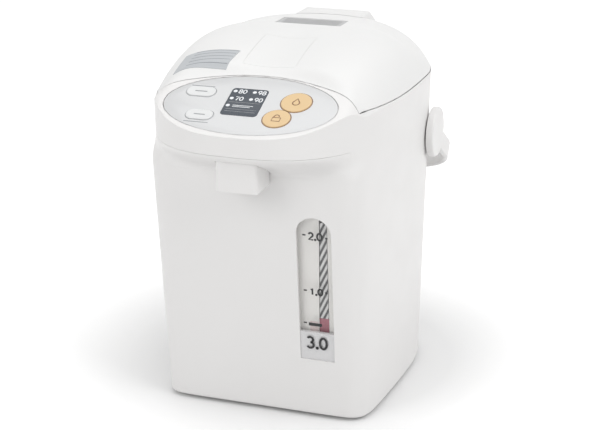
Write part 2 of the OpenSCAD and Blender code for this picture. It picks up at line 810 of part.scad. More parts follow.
module lid_arm_notch(grow) {
    translate([-lid_knuckle_half - grow, head_rear_reach - 12, lid_seam_z - 1])
        cube([2 * (lid_knuckle_half + grow), 40, 1 + base_plate_z - lid_seam_z + 2.8 + grow]);
}
module lid_block(grow, z) {
    translate([0, 0, z]) linear_extrude(100) lid_plan(grow);
}
module lid_cover() {
    color("white") difference() {
        freeform() difference() {
            intersection() {
                head_form();
                lid_block(-0.4, lid_low);
            }
            intersection() {
                head_form(wall, seam_z - eps);
                lid_block(-0.4 - wall, seam_z);
            }
            lid_arm_notch(0.4);
        }
        translate([-lever_half_w - 0.3, lever_front - 0.3, top_z - 40])
            cube([2 * lever_half_w + 0.6, lever_rear - lever_front + 0.6, 80]);
        translate([vent_at[0] - vent_size[0] / 2 - 0.1, vent_at[1] - vent_size[1] / 2 - 0.1, top_z - 8])
            cube([vent_size[0] + 0.2, vent_size[1] + 0.2, 20]);
        translate([-8, -lid_front - 1, latch_z - 0.3]) cube([16, 9, latch_t + 0.6]);
    }
}
ear_in = lever_half_w + 1;
ear_t = 3;
arm_l = 16;
module lid_base() {
    hub_r_lid = container_r - 40;
    color("whitesmoke") difference() {
        union() {
            translate([0, 0, base_plate_z]) linear_extrude(base_plate_t) intersection() {
                polygon(outline(lid_seam_z - 4, 11));
                lid_plan(-0.8 - wall);
            }
            translate([0, 0, plate_z + 1]) cylinder(r = hub_r_lid, h = base_plate_z - plate_z - 1);
            translate([-lid_knuckle_half, head_rear_reach - arm_l, base_plate_z])
                cube([2 * lid_knuckle_half, axis_y - head_rear_reach + arm_l, 2.8]);
            translate([-lid_knuckle_half, axis_y, axis_z]) rotate([0, 90, 0])
                cylinder(r = knuckle_r, h = 2 * lid_knuckle_half);
            for (x = [-1, 1]) translate([x * (ear_in + ear_t / 2) - ear_t / 2, lever_pin_y - 4, base_plate_z])
                cube([ear_t, 8, lever_pin_z + 3 - base_plate_z]);
            for (x = [-1, 1]) translate([x * 11 - 1.5, -lid_front + 12, base_plate_z])
                cube([3, 30, latch_z + latch_t + 1 - base_plate_z]);
        }
        translate([-50, axis_y, axis_z]) rotate([0, 90, 0]) cylinder(r = hinge_pin_r + running, h = 100);
        translate([-50, lever_pin_y, lever_pin_z]) rotate([0, 90, 0])
            cylinder(r = lever_pin_r + 0.02, h = 100);
        translate([vent_at[0], vent_at[1], lid_seam_z - 10]) cylinder(r = duct_r - 3, h = 40);
    }
}
plate_z = lid_seam_z - deck_t - 1.7;
plate_r = mouth_wall_r - 2;
module lid_plate() {
    dish_r = mouth_in_r - 10;
    color("silver") difference() {
        rotate_extrude() polygon([[0, plate_z - 6], [dish_r, plate_z - 6], [dish_r + 1, plate_z],
            [plate_r, plate_z], [plate_r, plate_z + 1], [dish_r, plate_z + 1], [dish_r - 1, plate_z - 5],
            [0, plate_z - 5]]);
        translate([vent_at[0], vent_at[1], plate_z - 10]) cylinder(r = 4, h = 20);
    }
    color("silver") ring(12, 9, plate_z - 5, 6);
}
module lid_gasket() {
    color("dimgray") ring(plate_r, mouth_in_r + 1, mouth_z + 2.3, plate_z - mouth_z - 2.3);
}
duct_z = base_plate_z + base_plate_t;
duct_h = top_z - 6.5 - duct_z;
module steam_duct() {
    color("whitesmoke") translate([vent_at[0], vent_at[1], 0]) difference() {
        ring(duct_r, duct_r - 2, duct_z, duct_h);
        translate([0, -duct_r - 5, duct_z + 14]) rotate([-90, 0, 0]) cylinder(r = 1.5, h = 5);
    }
    color("whitesmoke") translate([vent_at[0], vent_at[1], 0]) ring(duct_r - 2, steam_hole_r, duct_z, 3);
}
steam_ball_r = 4;
steam_hole_r = 2;
module steam_ball() {
    color("silver") translate([vent_at[0], vent_at[1], duct_z + 3 + seated(steam_ball_r, steam_hole_r)])
        sphere(r = steam_ball_r);
}
vent_top = top_z - 0.6;
vent_t = 2.5;
slat_pitch = 4;
module vent_grille() {
    n = floor((vent_size[1] - 4) / slat_pitch);
    rim = 1.2;
    low = vent_top - vent_t - 3;
    color("darkgray") translate([vent_at[0] - vent_size[0] / 2, vent_at[1] - vent_size[1] / 2, 0])
        difference() {
            translate([0, 0, low]) cube([vent_size[0], vent_size[1], vent_t + 3]);
            translate([rim, rim, low - 1]) cube([vent_size[0] - 2 * rim, vent_size[1] - 2 * rim, 4]);
            for (i = [0:n - 1]) translate([4, vent_size[1] / 2 + (i - (n - 1) / 2) * slat_pitch - 0.7, low])
                cube([vent_size[0] - 8, 1.4, 20]);
        }
}
hump_half_w = 31;
hump_base_half_w = 34.5;
hump_rear_y = head_rear_reach + 5;
hump_front_y = 34;
hump_crest_y = 84;
hump_top = top_z - 2;
module hinge_cap() {
    r = 3;
    top = hump_top - r;
    base_x = hump_base_half_w - r;
    rear = hump_rear_y - r;
    color("white") freeform() difference() {
        hull() for (p = [[hump_half_w - r, hump_front_y, top], [hump_half_w - r, hump_crest_y - r, top],
                [base_x, 62, top_z - 22], [base_x, rear, top_z - 22], [base_x, rear, lid_seam_z + 6 + r]])
            for (x = [-1, 1]) translate([x * p[0], p[1], p[2]]) sphere(r = r, $fn = 24);
        head_form(-0.15);
        translate([-100, 0, 0]) cube([200, 200, lid_seam_z + 6.5]);
    }
}
module lid_label() {
    color("silver") freeform() intersection() {
        difference() {
            head_form(-0.35);
            head_form(-0.05);
        }
        translate([0, 0, top_z - 60]) linear_extrude(80)
            polygon([[-76.2, -116], [-74.2, -92.6], [-30.1, -85.6], [-33.2, -110]]);
    }
}
lever_spring_l = 14;
barrel_in = lever_spring_l / 2 + 0.5;
barrel_out = lever_half_w - 1;
barrel_r = 3;
module lid_lever() {
    color("white") {
        freeform() intersection() {
            difference() {
                head_form();
                head_form(lever_t, seam_z);
            }
            translate([-lever_half_w, lever_front, top_z - 40])
                cube([2 * lever_half_w, lever_rear - lever_front, 80]);
        }
        difference() {
            for (x = [-1, 1]) {
                translate([x * (barrel_in + barrel_out) / 2, lever_pin_y, lever_pin_z]) rotate([0, 90, 0])
                    cylinder(r = barrel_r, h = barrel_out - barrel_in, center = true);
                translate([x * 12 - 2, lever_pin_y - 2.5, lever_pin_z]) cube([4, 5, 9.8]);
            }
            translate([-50, lever_pin_y, lever_pin_z]) rotate([0, 90, 0])
                cylinder(r = lever_pin_r + running, h = 100);
        }
    }
}
module lever_pin() {
    color("silver") translate([-ear_in - ear_t, lever_pin_y, lever_pin_z]) rotate([0, 90, 0])
        cylinder(r = lever_pin_r, h = 2 * (ear_in + ear_t));
}
latch_len = 32;
module lid_latch() {
    color("dimgray") translate([-7, -lid_front + 0.6, latch_z]) cube([14, latch_len, latch_t]);
}
module lever_spring() {
    color("silver") translate([-lever_spring_l / 2, lever_pin_y, lever_pin_z]) rotate([0, 90, 0])
        ring(barrel_r - 0.1, lever_pin_r + 0.1, 0, lever_spring_l);
}

// ---- Hinge and handle -----------------------------------------------------
module hinge_bracket() {
    w = bracket_high - bracket_low;
    rear_face = head_rear_reach - 1.7;
    color("whitesmoke") for (x = [-bracket_high, bracket_low]) difference() {
        union() {
            translate([x, axis_y, axis_z]) rotate([0, 90, 0]) cylinder(r = knuckle_r, h = w);
            translate([x, rear_face, axis_z - 16]) cube([w, axis_y - rear_face, 16]);
        }
        translate([x - 1, axis_y, axis_z]) rotate([0, 90, 0]) cylinder(r = hinge_pin_r + 0.02, h = 20);
    }
}
module hinge_pin() {
    color("silver") translate([-bracket_high - 1, axis_y, axis_z]) rotate([0, 90, 0])
        cylinder(r = hinge_pin_r, h = 2 * bracket_high + 2);
}
handle_in = head_half_w + 0.4;
handle_boss_t = 6.2;
pin_end = handle_in + handle_boss_t - 1.2;
handle_corner_r = 60;
module handle_pins() {
    color("whitesmoke") for (x = [-1, 1]) translate([0, handle_y, handle_z]) rotate([0, x * 90, 0]) {
        translate([0, 0, head_half_w - 11.5]) cylinder(r = 9, h = 3);
        translate([0, 0, head_half_w - 11.5]) cylinder(r = handle_pin_r, h = pin_end - head_half_w + 11.5);
        ring(handle_pin_r + 4, handle_pin_r - 1, handle_in - 1.5, 1.2);
    }
}
module carry_handle() {
    arm = handle_reach - handle_corner_r;
    color("white") translate([0, handle_y, handle_z]) rotate([-handle_rest, 0, 0]) difference() {
        union() {
            for (x = [-1, 1]) {
                translate([x * handle_in, 0, 0]) rotate([0, x * 90, 0])
                    cylinder(r = handle_boss_r, h = handle_boss_t);
                translate([x * (handle_in + handle_t / 2) - handle_t / 2, 0, -handle_w / 2])
                    cube([handle_t, arm, handle_w]);
            }
            for (x = [0, 1]) mirror([x, 0, 0]) translate([handle_in - handle_corner_r, arm, -handle_w / 2])
                rotate_extrude(angle = 90) translate([handle_corner_r, 0]) square([handle_t, handle_w]);
            translate([-handle_in + handle_corner_r, handle_reach, -handle_w / 2])
                cube([2 * (handle_in - handle_corner_r), handle_t, handle_w]);
        }
        for (x = [-1, 1]) rotate([0, x * 90, 0]) translate([0, 0, handle_in - eps])
            cylinder(r = handle_pin_r + running, h = pin_end - handle_in + eps + 0.2);
    }
}

base_disc();
rubber_feet();
glide_ring();
swivel_fixings();
bottom_cover();
bottom_screws();
outer_body();
top_casing();
spout_cover();
spout_guard();
spout_nozzle();
outlet_pipe();
tip_valve();
operation_panel();
display_window();
control_board();
board_screws();
key_switches();
led_lamps();
gauge_window();
gauge_plate();
gauge_tube();
tube_seals();
inner_container();
mouth_ring();
heat_shield();
heater_plate();
thermostat();
thermal_fuse();
pump_housing();
pump_motor();
suction_pipe();
delivery_hose();
power_board();
inlet_socket();
socket_pins();
hinge_bracket();
hinge_pin();
handle_pins();
lid_cover();
lid_base();
lid_plate();
lid_gasket();
steam_duct();
vent_grille();
hinge_cap();
lid_label();
lever_spring();
lever_pin();
lid_lever();
lid_latch();
carry_handle();
key_dispense();
key_unlock();
key_select();
key_timer();
pump_impeller();
tip_ball();
steam_ball();
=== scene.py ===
# %% [markdown]
# # An electric thermo pot, piece by piece
# The pot is a moulded plastic body with a hooded head, a domed lid, a swing handle and a
# turntable base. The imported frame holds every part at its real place, so each shell made here
# repeats the frame's own shape rule at a finer step, and rides on the body that carries it.
# The pot's lengths are in millimetres, and one factor turns them into Blender's metres.

# %% Load the frame
import json
from math import atan, cos, degrees, pi, radians, sin, tan

import bmesh
import bpy
import numpy as np
from mathutils import Matrix, Vector


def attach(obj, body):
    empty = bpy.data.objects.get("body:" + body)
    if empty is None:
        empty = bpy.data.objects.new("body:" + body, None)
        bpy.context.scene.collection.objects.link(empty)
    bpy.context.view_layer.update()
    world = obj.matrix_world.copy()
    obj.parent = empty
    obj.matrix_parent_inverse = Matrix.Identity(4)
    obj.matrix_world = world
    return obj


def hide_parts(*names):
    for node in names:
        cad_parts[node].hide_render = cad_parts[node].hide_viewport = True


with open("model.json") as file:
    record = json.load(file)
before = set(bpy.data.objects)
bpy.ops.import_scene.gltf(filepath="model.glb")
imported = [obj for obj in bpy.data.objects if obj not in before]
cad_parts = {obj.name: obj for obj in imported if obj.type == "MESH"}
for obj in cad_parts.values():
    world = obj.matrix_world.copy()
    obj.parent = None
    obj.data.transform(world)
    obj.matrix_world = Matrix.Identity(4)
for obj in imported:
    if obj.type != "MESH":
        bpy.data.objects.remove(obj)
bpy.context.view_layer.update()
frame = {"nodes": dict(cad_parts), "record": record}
MM = 0.001


def placed(name, data):
    """An object that puts camera, lamp or mesh data into the scene."""
    made = bpy.data.objects.new(name, data)
    bpy.context.scene.collection.objects.link(made)
    return made


# %% [markdown]
# ## Camera
# A long lens from far back keeps the pot's upright edges almost parallel, as the eye expects of a
# household object. A wide lens close by would splay them.

# %% Camera
CAMERA_TURN = radians(18.5)
CAMERA_RISE = radians(18.96)
CAMERA_DISTANCE = 1251 * MM
CAMERA_TARGET = Vector((0, -25, 140.6)) * MM
CAMERA_LENS = 86.38

camera_data = bpy.data.cameras.new("camera")
camera_data.lens = CAMERA_LENS
camera_data.sensor_width = 36
camera_data.sensor_fit = "HORIZONTAL"
camera = placed("camera", camera_data)
towards_camera = Vector((sin(CAMERA_TURN) * cos(CAMERA_RISE),
                         -cos(CAMERA_TURN) * cos(CAMERA_RISE), sin(CAMERA_RISE)))
camera.location = CAMERA_TARGET + towards_camera * CAMERA_DISTANCE
camera.rotation_euler = (-towards_camera).to_track_quat("-Z", "Y").to_euler()
bpy.context.scene.camera = camera
bpy.context.scene.view_settings.view_transform = "Standard"
print("camera at", [round(v, 3) for v in camera.location])

# %% [markdown]
# ## Room and lamps
# A white pot is judged by its soft shading, so the room is pale and the lamps are large. Eyes and
# mirror-like rays see the room as pure white, but it lights the pot less, or the plastic would
# clip. Its places and sizes are in metres.


# %% World and lamps
def tools_for(tree):
    """Empties a node tree and returns two functions, which add nodes to it and link them."""
    tree.nodes.clear()

    def add(kind, values=(), **settings):
        made = tree.nodes.new(kind)
        for key, value in settings.items():
            setattr(made, key, value)
        for socket, value in dict(values).items():
            made.inputs[socket].default_value = value
        return made

    def link(*pairs):
        for source, target in pairs:
            tree.links.new(source, target)
    return add, link


def tools_of(owner):
    owner.use_nodes = True
    return tools_for(owner.node_tree)


def any_ray(add, link, first, *others):
    """A socket that is 1 on rays of the named kinds and 0 on all others."""
    path = add("ShaderNodeLightPath")
    found = path.outputs[first]
    for kind in others:
        either = add("ShaderNodeMath", operation="MAXIMUM")
        link((found, either.inputs[0]), (path.outputs[kind], either.inputs[1]))
        found = either.outputs[0]
    return found


WORLD_LEVEL = 0.55
world = bpy.data.worlds.new("pale room")
bpy.context.scene.world = world
add, link = tools_of(world)
level = add("ShaderNodeMix", {"A": WORLD_LEVEL, "B": 1.0}, data_type="FLOAT")
sky = add("ShaderNodeBackground", {"Color": (1, 1, 1, 1)})
seen = any_ray(add, link, "Is Camera Ray", "Is Glossy Ray", "Is Transmission Ray")
link((seen, level.inputs["Factor"]), (level.outputs["Result"], sky.inputs["Strength"]),
     (sky.outputs[0], add("ShaderNodeOutputWorld").inputs[0]))


def area_lamp(name, place, target, size, watts):
    data = bpy.data.lights.new(name, "AREA")
    data.shape = "RECTANGLE"
    data.size = data.size_y = size
    data.energy = watts
    lamp = placed(name, data)
    lamp.location = place
    lamp.rotation_euler = (Vector(target) - Vector(place)).to_track_quat("-Z", "Y").to_euler()


area_lamp("key_lamp", (1.5, -0.5, 1.5), (0, 0, 0.15), 1.2, 14)
area_lamp("top_lamp", (-0.1, 0.3, 1.9), (0, 0, 0.2), 1.6, 7.5)
area_lamp("front_lamp", (-0.9, -1.7, 1.1), (0, 0, 0.15), 1.2, 10)
print("world and three lamps")

# %% [markdown]
# ## Floor
# The floor is an ordinary matt surface that takes the pot's shadow. Camera and mirror-like rays
# also see a faint glow that lifts it to white, and less so close to the pot, where a stronger glow
# would wash the shadow out; there the weaker glow paints a grey shade round the pot, on top of its
# real shadow. A brighter lamp could whiten it too, but would clip the plastic.

# %% Floor
FLOOR_SIZE = 12
# The glow's strength close to the pot, weak enough to paint a grey shade round it, and far from it,
# and the two distances in metres over which that painted shade fades out
LIFT_IN_PAINTED_SHADE, LIFT_FAR = 0.04, 0.48
SHADE_RAMP_FROM, SHADE_RAMP_TO = 0.13, 0.29
half = FLOOR_SIZE / 2
floor_mesh = bpy.data.meshes.new("floor")
floor_mesh.from_pydata([(-half, -half, 0), (half, -half, 0), (half, half, 0), (-half, half, 0)],
                       [], [(0, 1, 2, 3)])
floor = placed("floor", floor_mesh)
floor_finish = bpy.data.materials.new("floor_paper")
add, link = tools_of(floor_finish)
place = add("ShaderNodeTexCoord")
away = add("ShaderNodeVectorMath", operation="LENGTH")
# A ramp from weak to full glow: the painted grey shade round the pot
painted_shade_ramp = add("ShaderNodeMapRange", {"From Min": SHADE_RAMP_FROM, "From Max": SHADE_RAMP_TO,
                                  "To Min": LIFT_IN_PAINTED_SHADE, "To Max": LIFT_FAR})
lift_and_painted_shade = add("ShaderNodeMath", operation="MULTIPLY")
matt = add("ShaderNodeBsdfDiffuse", {"Color": (0.86, 0.86, 0.86, 1)})
glow = add("ShaderNodeEmission", {"Color": (1, 1, 1, 1)})
both = add("ShaderNodeAddShader")
link((place.outputs["Object"], away.inputs[0]), (away.outputs["Value"], painted_shade_ramp.inputs["Value"]),
     (any_ray(add, link, "Is Camera Ray", "Is Glossy Ray"), lift_and_painted_shade.inputs[0]),
     (painted_shade_ramp.outputs["Result"], lift_and_painted_shade.inputs[1]), (lift_and_painted_shade.outputs[0], glow.inputs["Strength"]),
     (matt.outputs[0], both.inputs[0]), (glow.outputs[0], both.inputs[1]),
     (both.outputs[0], add("ShaderNodeOutputMaterial").inputs["Surface"]))
floor_mesh.materials.append(floor_finish)
print("floor", FLOOR_SIZE, "m wide")

# %% [markdown]
# ## Moulded plastic
# Moulded plastic is never one flat colour: the mould's fine texture breaks up its gloss, the resin
# drifts a little in tone, and hands leave it glossier in places. One shader group makes those three
# effects from noise, and each finish gives it its own colours and scales. Image textures would need
# files, so it is procedural.


# %% Shader group: moulded skin
def effect_group(name, **inputs):
    """A shader group with named inputs, and the three outputs that every finish uses."""
    group = bpy.data.node_groups.new(name, "ShaderNodeTree")
    for socket, value in inputs.items():
        kind = "NodeSocketColor" if isinstance(value, tuple) else "NodeSocketFloat"
        made = group.interface.new_socket(socket.replace("_", " "), in_out="INPUT",
                                          socket_type=kind)
        made.default_value = value
    for socket, kind in (("Colour", "Color"), ("Roughness", "Float"), ("Height", "Float")):
        group.interface.new_socket(socket, in_out="OUTPUT", socket_type="NodeSocket" + kind)
    add, link = tools_for(group)
    return group, add, link, add("NodeGroupInput"), add("NodeGroupOutput")


def tone_and_gloss(add, link, start, end, tone_mask, gloss_mask, low=0.0, high=1.0):
    """Blends the two colours by one mask, and spreads the other over the two gloss values."""
    tone = add("ShaderNodeMix", data_type="RGBA")
    gloss = add("ShaderNodeMapRange", {"From Min": low, "From Max": high})
    link((tone_mask, tone.inputs["Factor"]), (start.outputs[0], tone.inputs["A"]),
         (start.outputs[1], tone.inputs["B"]), (tone.outputs["Result"], end.inputs["Colour"]),
         (gloss_mask, gloss.inputs["Value"]), (start.outputs["Gloss low"], gloss.inputs["To Min"]),
         (start.outputs["Gloss high"], gloss.inputs["To Max"]),
         (gloss.outputs["Result"], end.inputs["Roughness"]))


skin_group, add, link, start, end = effect_group(
    "Moulded skin", Colour=(0.9, 0.9, 0.9, 1), Drift_colour=(0.86, 0.85, 0.83, 1), Drift=0.4,
    Grain_scale=900.0, Gloss_low=0.3, Gloss_high=0.45)
place = add("ShaderNodeTexCoord")
cloud = add("ShaderNodeTexNoise", {"Scale": 14, "Detail": 3})
smear = add("ShaderNodeTexNoise", {"Scale": 45, "Detail": 5})
grain = add("ShaderNodeTexNoise", {"Detail": 2})
amount = add("ShaderNodeMath", operation="MULTIPLY")
link(*[(place.outputs["Object"], noise.inputs["Vector"]) for noise in (cloud, smear, grain)],
     (cloud.outputs["Fac"], amount.inputs[0]), (start.outputs["Drift"], amount.inputs[1]),
     (start.outputs["Grain scale"], grain.inputs["Scale"]),
     (grain.outputs["Fac"], end.inputs["Height"]))
tone_and_gloss(add, link, start, end, amount.outputs[0], smear.outputs["Fac"], 0.35, 0.65)
print("group", skin_group.name)

# %% [markdown]
# ## Drawn and coated metal
# Sheet metal shows the fine lines of the rolls and brushes that drew it. Noise stretched along one
# axis gives them, and noise of the same scale both ways gives the sparkle of a metallic coat.

# %% Shader group: drawn metal
drawn_group, add, link, start, end = effect_group(
    "Drawn lines", Colour=(0.6, 0.6, 0.6, 1), Line_colour=(0.5, 0.5, 0.5, 1), Across=1500.0,
    Along=20.0, Gloss_low=0.25, Gloss_high=0.4)
place = add("ShaderNodeTexCoord")
scales = add("ShaderNodeCombineXYZ")
stretch = add("ShaderNodeVectorMath", operation="MULTIPLY")
lines = add("ShaderNodeTexNoise", {"Scale": 1, "Detail": 3})
link((start.outputs["Along"], scales.inputs["X"]), (start.outputs["Across"], scales.inputs["Y"]),
     (start.outputs["Across"], scales.inputs["Z"]), (place.outputs["Object"], stretch.inputs[0]),
     (scales.outputs[0], stretch.inputs[1]), (stretch.outputs[0], lines.inputs["Vector"]),
     (lines.outputs["Fac"], end.inputs["Height"]))
tone_and_gloss(add, link, start, end, lines.outputs["Fac"], lines.outputs["Fac"])
print("group", drawn_group.name)

# %% [markdown]
# ## From group to finish
# Each finish is one material: a group for what changes over the surface, and its own Principled
# shader. The table holds two tones of each finish, because a second tone close to the first keeps
# a surface from looking painted on. Clear plastic has no relief and almost no body: real refraction
# would bend the scale behind it, which a wall this thin hardly does, so it is a faint glossy film.

# %% Finishes
RELIEF_DEPTH = 0.4 * MM


def finish_from(group, name, colour, second, relief, gloss, metal=0.0, alpha=1.0, **values):
    """A material whose colour, gloss and fine relief come from one of the groups above."""
    material = bpy.data.materials.new(name)
    add, link = tools_of(material)
    effect = add("ShaderNodeGroup", {0: (*colour, 1), 1: (*second, 1)}, node_tree=group)
    values.update(zip(("Gloss_low", "Gloss_high"), gloss))
    for socket, value in values.items():
        effect.inputs[socket.replace("_", " ")].default_value = value
    shader = add("ShaderNodeBsdfPrincipled", {"Metallic": metal, "Alpha": alpha})
    if relief:
        bump = add("ShaderNodeBump", {"Strength": relief, "Distance": RELIEF_DEPTH})
        link((effect.outputs["Height"], bump.inputs["Height"]),
             (bump.outputs["Normal"], shader.inputs["Normal"]))
    link((effect.outputs["Colour"], shader.inputs["Base Color"]),
         (effect.outputs["Roughness"], shader.inputs["Roughness"]),
         (shader.outputs[0], add("ShaderNodeOutputMaterial").inputs["Surface"]))
    return material


# Colour, second tone, relief, and gloss where it isn't the group's own
SKINS = {
    "shell_white": ((0.82, 0.812, 0.806), (0.79, 0.778, 0.765), 0.06, (0.34, 0.46)),
    "lid_white": ((0.82, 0.82, 0.815), (0.79, 0.785, 0.775), 0.05, (0.32, 0.44)),
    "trim_grey": ((0.52, 0.52, 0.52), (0.47, 0.47, 0.46), 0.15, (0.45, 0.6)),
    "inner_plastic": ((0.70, 0.70, 0.68), (0.66, 0.65, 0.62), 0.1, (0.4, 0.55)),
    "vent_grey": ((0.50, 0.50, 0.505), (0.46, 0.46, 0.465), 0.2, (0.4, 0.55)),
    "display_dark": ((0.026, 0.038, 0.055), (0.028, 0.042, 0.06), 0.01, (0.2, 0.3)),
    "key_orange": ((0.76, 0.55, 0.30), (0.72, 0.51, 0.27), 0.1, (0.38, 0.5)),
    "key_white": ((0.76, 0.77, 0.77), (0.73, 0.73, 0.73), 0.1, (0.36, 0.48)),
    "plate_grey": ((0.50, 0.52, 0.54), (0.45, 0.47, 0.49), 0.1, (0.3, 0.42)),
    "rib_grey": ((0.26, 0.275, 0.30), (0.22, 0.235, 0.26), 0.05, ()),
    # gauge_back is paler than the tray's own slot: painted light for the dim gauge tray and its liners
    "gauge_back": ((0.80, 0.785, 0.76), (0.76, 0.745, 0.72), 0.08, ()),
    "gauge_block": ((0.70, 0.695, 0.70), (0.67, 0.665, 0.67), 0.08, ()),
    "gauge_clear": ((0.85, 0.87, 0.88), (0.85, 0.87, 0.88), 0, (0.06, 0.12)),
    "strip_white": ((0.70, 0.695, 0.69), (0.66, 0.655, 0.65), 0.05, ()),
    "strip_ink": ((0.09, 0.09, 0.092), (0.11, 0.11, 0.11), 0.05, ()),
    "print_white": ((0.86, 0.88, 0.90), (0.80, 0.82, 0.84), 0.05, ()),
    "print_grey": ((0.30, 0.31, 0.33), (0.26, 0.27, 0.28), 0.05, ()),
    "print_ink": ((0.02, 0.02, 0.022), (0.035, 0.035, 0.035), 0.05, (0.5, 0.6)),
    "print_brown": ((0.24, 0.11, 0.05), (0.20, 0.09, 0.04), 0.05, ()),
    "print_red": ((0.42, 0.14, 0.18), (0.38, 0.12, 0.15), 0.05, ()),
    "print_blush": ((0.72, 0.60, 0.59), (0.68, 0.56, 0.55), 0.05, ()),
    "rubber": ((0.045, 0.045, 0.048), (0.065, 0.063, 0.06), 0.35, (0.6, 0.8)),
    "board_green": ((0.03, 0.17, 0.07), (0.02, 0.13, 0.05), 0.1, ()),
    "dark_plastic": ((0.03, 0.03, 0.032), (0.045, 0.045, 0.045), 0.2, (0.4, 0.55)),
    "lamp_red": ((0.75, 0.06, 0.03), (0.6, 0.04, 0.02), 0.02, ()),
}
METALS = {
    "panel_silver": ((0.665, 0.67, 0.675), (0.625, 0.63, 0.635), 0.03, (0.3, 0.42)),
    "steel": ((0.62, 0.63, 0.64), (0.50, 0.51, 0.52), 0.08, ()),
    "brass": ((0.75, 0.55, 0.22), (0.62, 0.44, 0.16), 0.05, ()),
}
OWN_VALUES = {
    "gauge_clear": dict(alpha=0.03),
    "rubber": dict(Grain_scale=600.0),
    "panel_silver": dict(metal=0.15, Across=2500.0, Along=2500.0),
    "steel": dict(metal=1.0),
    "brass": dict(metal=1.0),
}
FINISH = {name: finish_from(group, name, *row, **OWN_VALUES.get(name, {}))
          for group, table in ((skin_group, SKINS), (drawn_group, METALS))
          for name, row in table.items()}
print(len(FINISH), "finishes")

# %% [markdown]
# ## The frame's own pieces
# Most inner parts are good as the frame has them, and only need a better material. Each takes the
# finish of its slot; only the gauge's tray is dressed paler than its slot, as painted light, since
# little light reaches into it.

# %% Dress the frame's own nodes
slot_of = {row["node"]: row["material_slot"] for row in frame["record"]["subparts"]}
# The tray's paler finish is painted light, standing in for light that hardly reaches into it
PAINTED_LIGHTER = {"gauge_plate": "gauge_back"}
for name, node in frame["nodes"].items():
    node.data.materials.clear()
    node.data.materials.append(FINISH[PAINTED_LIGHTER.get(name, slot_of[name])])
print("dressed", len(slot_of), "nodes")

# %% [markdown]
# ## The shape rule
# The pot's plan is a rounded loop whose squareness differs front and rear: a nearly square front
# face, a round back. The head's loop reaches further forward, and the change from one to the other
# over 24 mm of height makes the hood. The dome falls from its apex to its edge along every ray, and
# near the control panel it is drawn to the panel's plane. The same rule shapes the frame, so the
# fine shells made here lie exactly on it.

# %% Driving sizes
BODY_HALF_W, HEAD_HALF_W = 98, 102.5
FRONT_REACH, FRONT_LEAN = 123, 0.115
REAR_REACH, HEAD_REAR_REACH = 97, 100
BEAK_REACH = 185
BOTTOM_Z, SEAM_Z, LID_SEAM_Z, TOP_Z = 3, 214, 266, 304
HOOD_Z = SEAM_Z + 24
WALL = 2.5
PANEL_HALF_W, PANEL_HALF_D = 70, 37
PANEL_TILT = radians(22.1)
PANEL_Y, PANEL_Z = -(BEAK_REACH - 38.4), TOP_Z - 35
PANEL_HOLD, PANEL_BLEND = 1.02, 0.35
FRONT_SQUARE, REAR_SQUARE, HOOD_SQUARE = 14, 2.3, 2.8
FRONT_PINCH = 0.10
APEX_Y = 8
DROP_SIDE = TOP_Z - LID_SEAM_Z
DROP_FRONT = DROP_SIDE + 14
FULL_SIDE, FULL_FRONT, FULL_SHOULDER = 4.2, 2.05, 2.4
EDGE_SHARE, EDGE_FULL = 0.10, 16
RIM_Z = LID_SEAM_Z - 4
HAIRLINE = 0.02
print("hood from", SEAM_Z, "to", HOOD_Z, "mm and dome up to", TOP_Z, "mm")


# %% Outline and dome
def mix(a, b, t):
    return a + (b - a) * t


def ease(t):
    u = np.clip(t, 0, 1)
    return u * u * (3 - 2 * u)


def loop_points(t, half_w, front, rear, square, pinch):
    """A rounded loop: square is the front half's squareness, pinch narrows it forwards."""
    c, s = np.cos(t), np.sin(t)
    ahead = s < 0
    n = np.where(ahead, square, REAR_SQUARE)
    b = np.where(ahead, front, rear)
    r = (np.abs(c / half_w) ** n + np.abs(s / b) ** n) ** (-1 / n)
    y = r * s
    narrow = np.where(ahead, 1 - pinch * (np.maximum(-y, 0) / FRONT_REACH) ** 1.4, 1)
    return r * c * narrow, y


def outline(t, z, inset=0.0):
    """The pot's plan at angles t and height z, drawn inwards by inset."""
    share = (z - BOTTOM_Z) / (RIM_Z - BOTTOM_Z)
    half_w = mix(BODY_HALF_W, HEAD_HALF_W, share) - inset
    rear = mix(REAR_REACH, HEAD_REAR_REACH, share) - inset
    front = FRONT_REACH + FRONT_LEAN * (z - BOTTOM_Z) - inset
    bx, by = loop_points(t, half_w, front, rear, FRONT_SQUARE, FRONT_PINCH)
    hx, hy = loop_points(t, half_w, BEAK_REACH - inset, rear, HOOD_SQUARE, 0)
    blend = ease((z - SEAM_Z) / (HOOD_Z - SEAM_Z))
    return mix(bx, hx, blend), mix(by, hy, blend)


def dome_z(x, y, rho):
    """Height of the dome at a plan point that lies at the share rho of its ray."""
    away = np.hypot(x, y - APEX_Y)
    ahead = y < APEX_Y
    forward = np.abs(y - APEX_Y) / np.maximum(away, 1e-6)
    drop = np.where(ahead, mix(DROP_SIDE, DROP_FRONT, forward ** 8), DROP_SIDE)
    bulge = FULL_SHOULDER * (4 * forward * (1 - forward)) ** 1.5
    full = np.where(ahead, mix(FULL_SIDE, FULL_FRONT, forward ** 4) + bulge, FULL_SIDE)
    plain = TOP_Z - drop * ((1 - EDGE_SHARE) * rho ** full + EDGE_SHARE * rho ** EDGE_FULL)
    plane = PANEL_Z + (y - PANEL_Y) * tan(PANEL_TILT)
    up = (y - PANEL_Y) / cos(PANEL_TILT)
    far = np.hypot(x / PANEL_HALF_W, up / PANEL_HALF_D)
    return mix(plain, plane, 1 - ease((far - PANEL_HOLD) / PANEL_BLEND))


def edge_z(t):
    x, y = outline(t, RIM_Z)
    return dome_z(x, y, 1.0)


CORNER = radians(53)


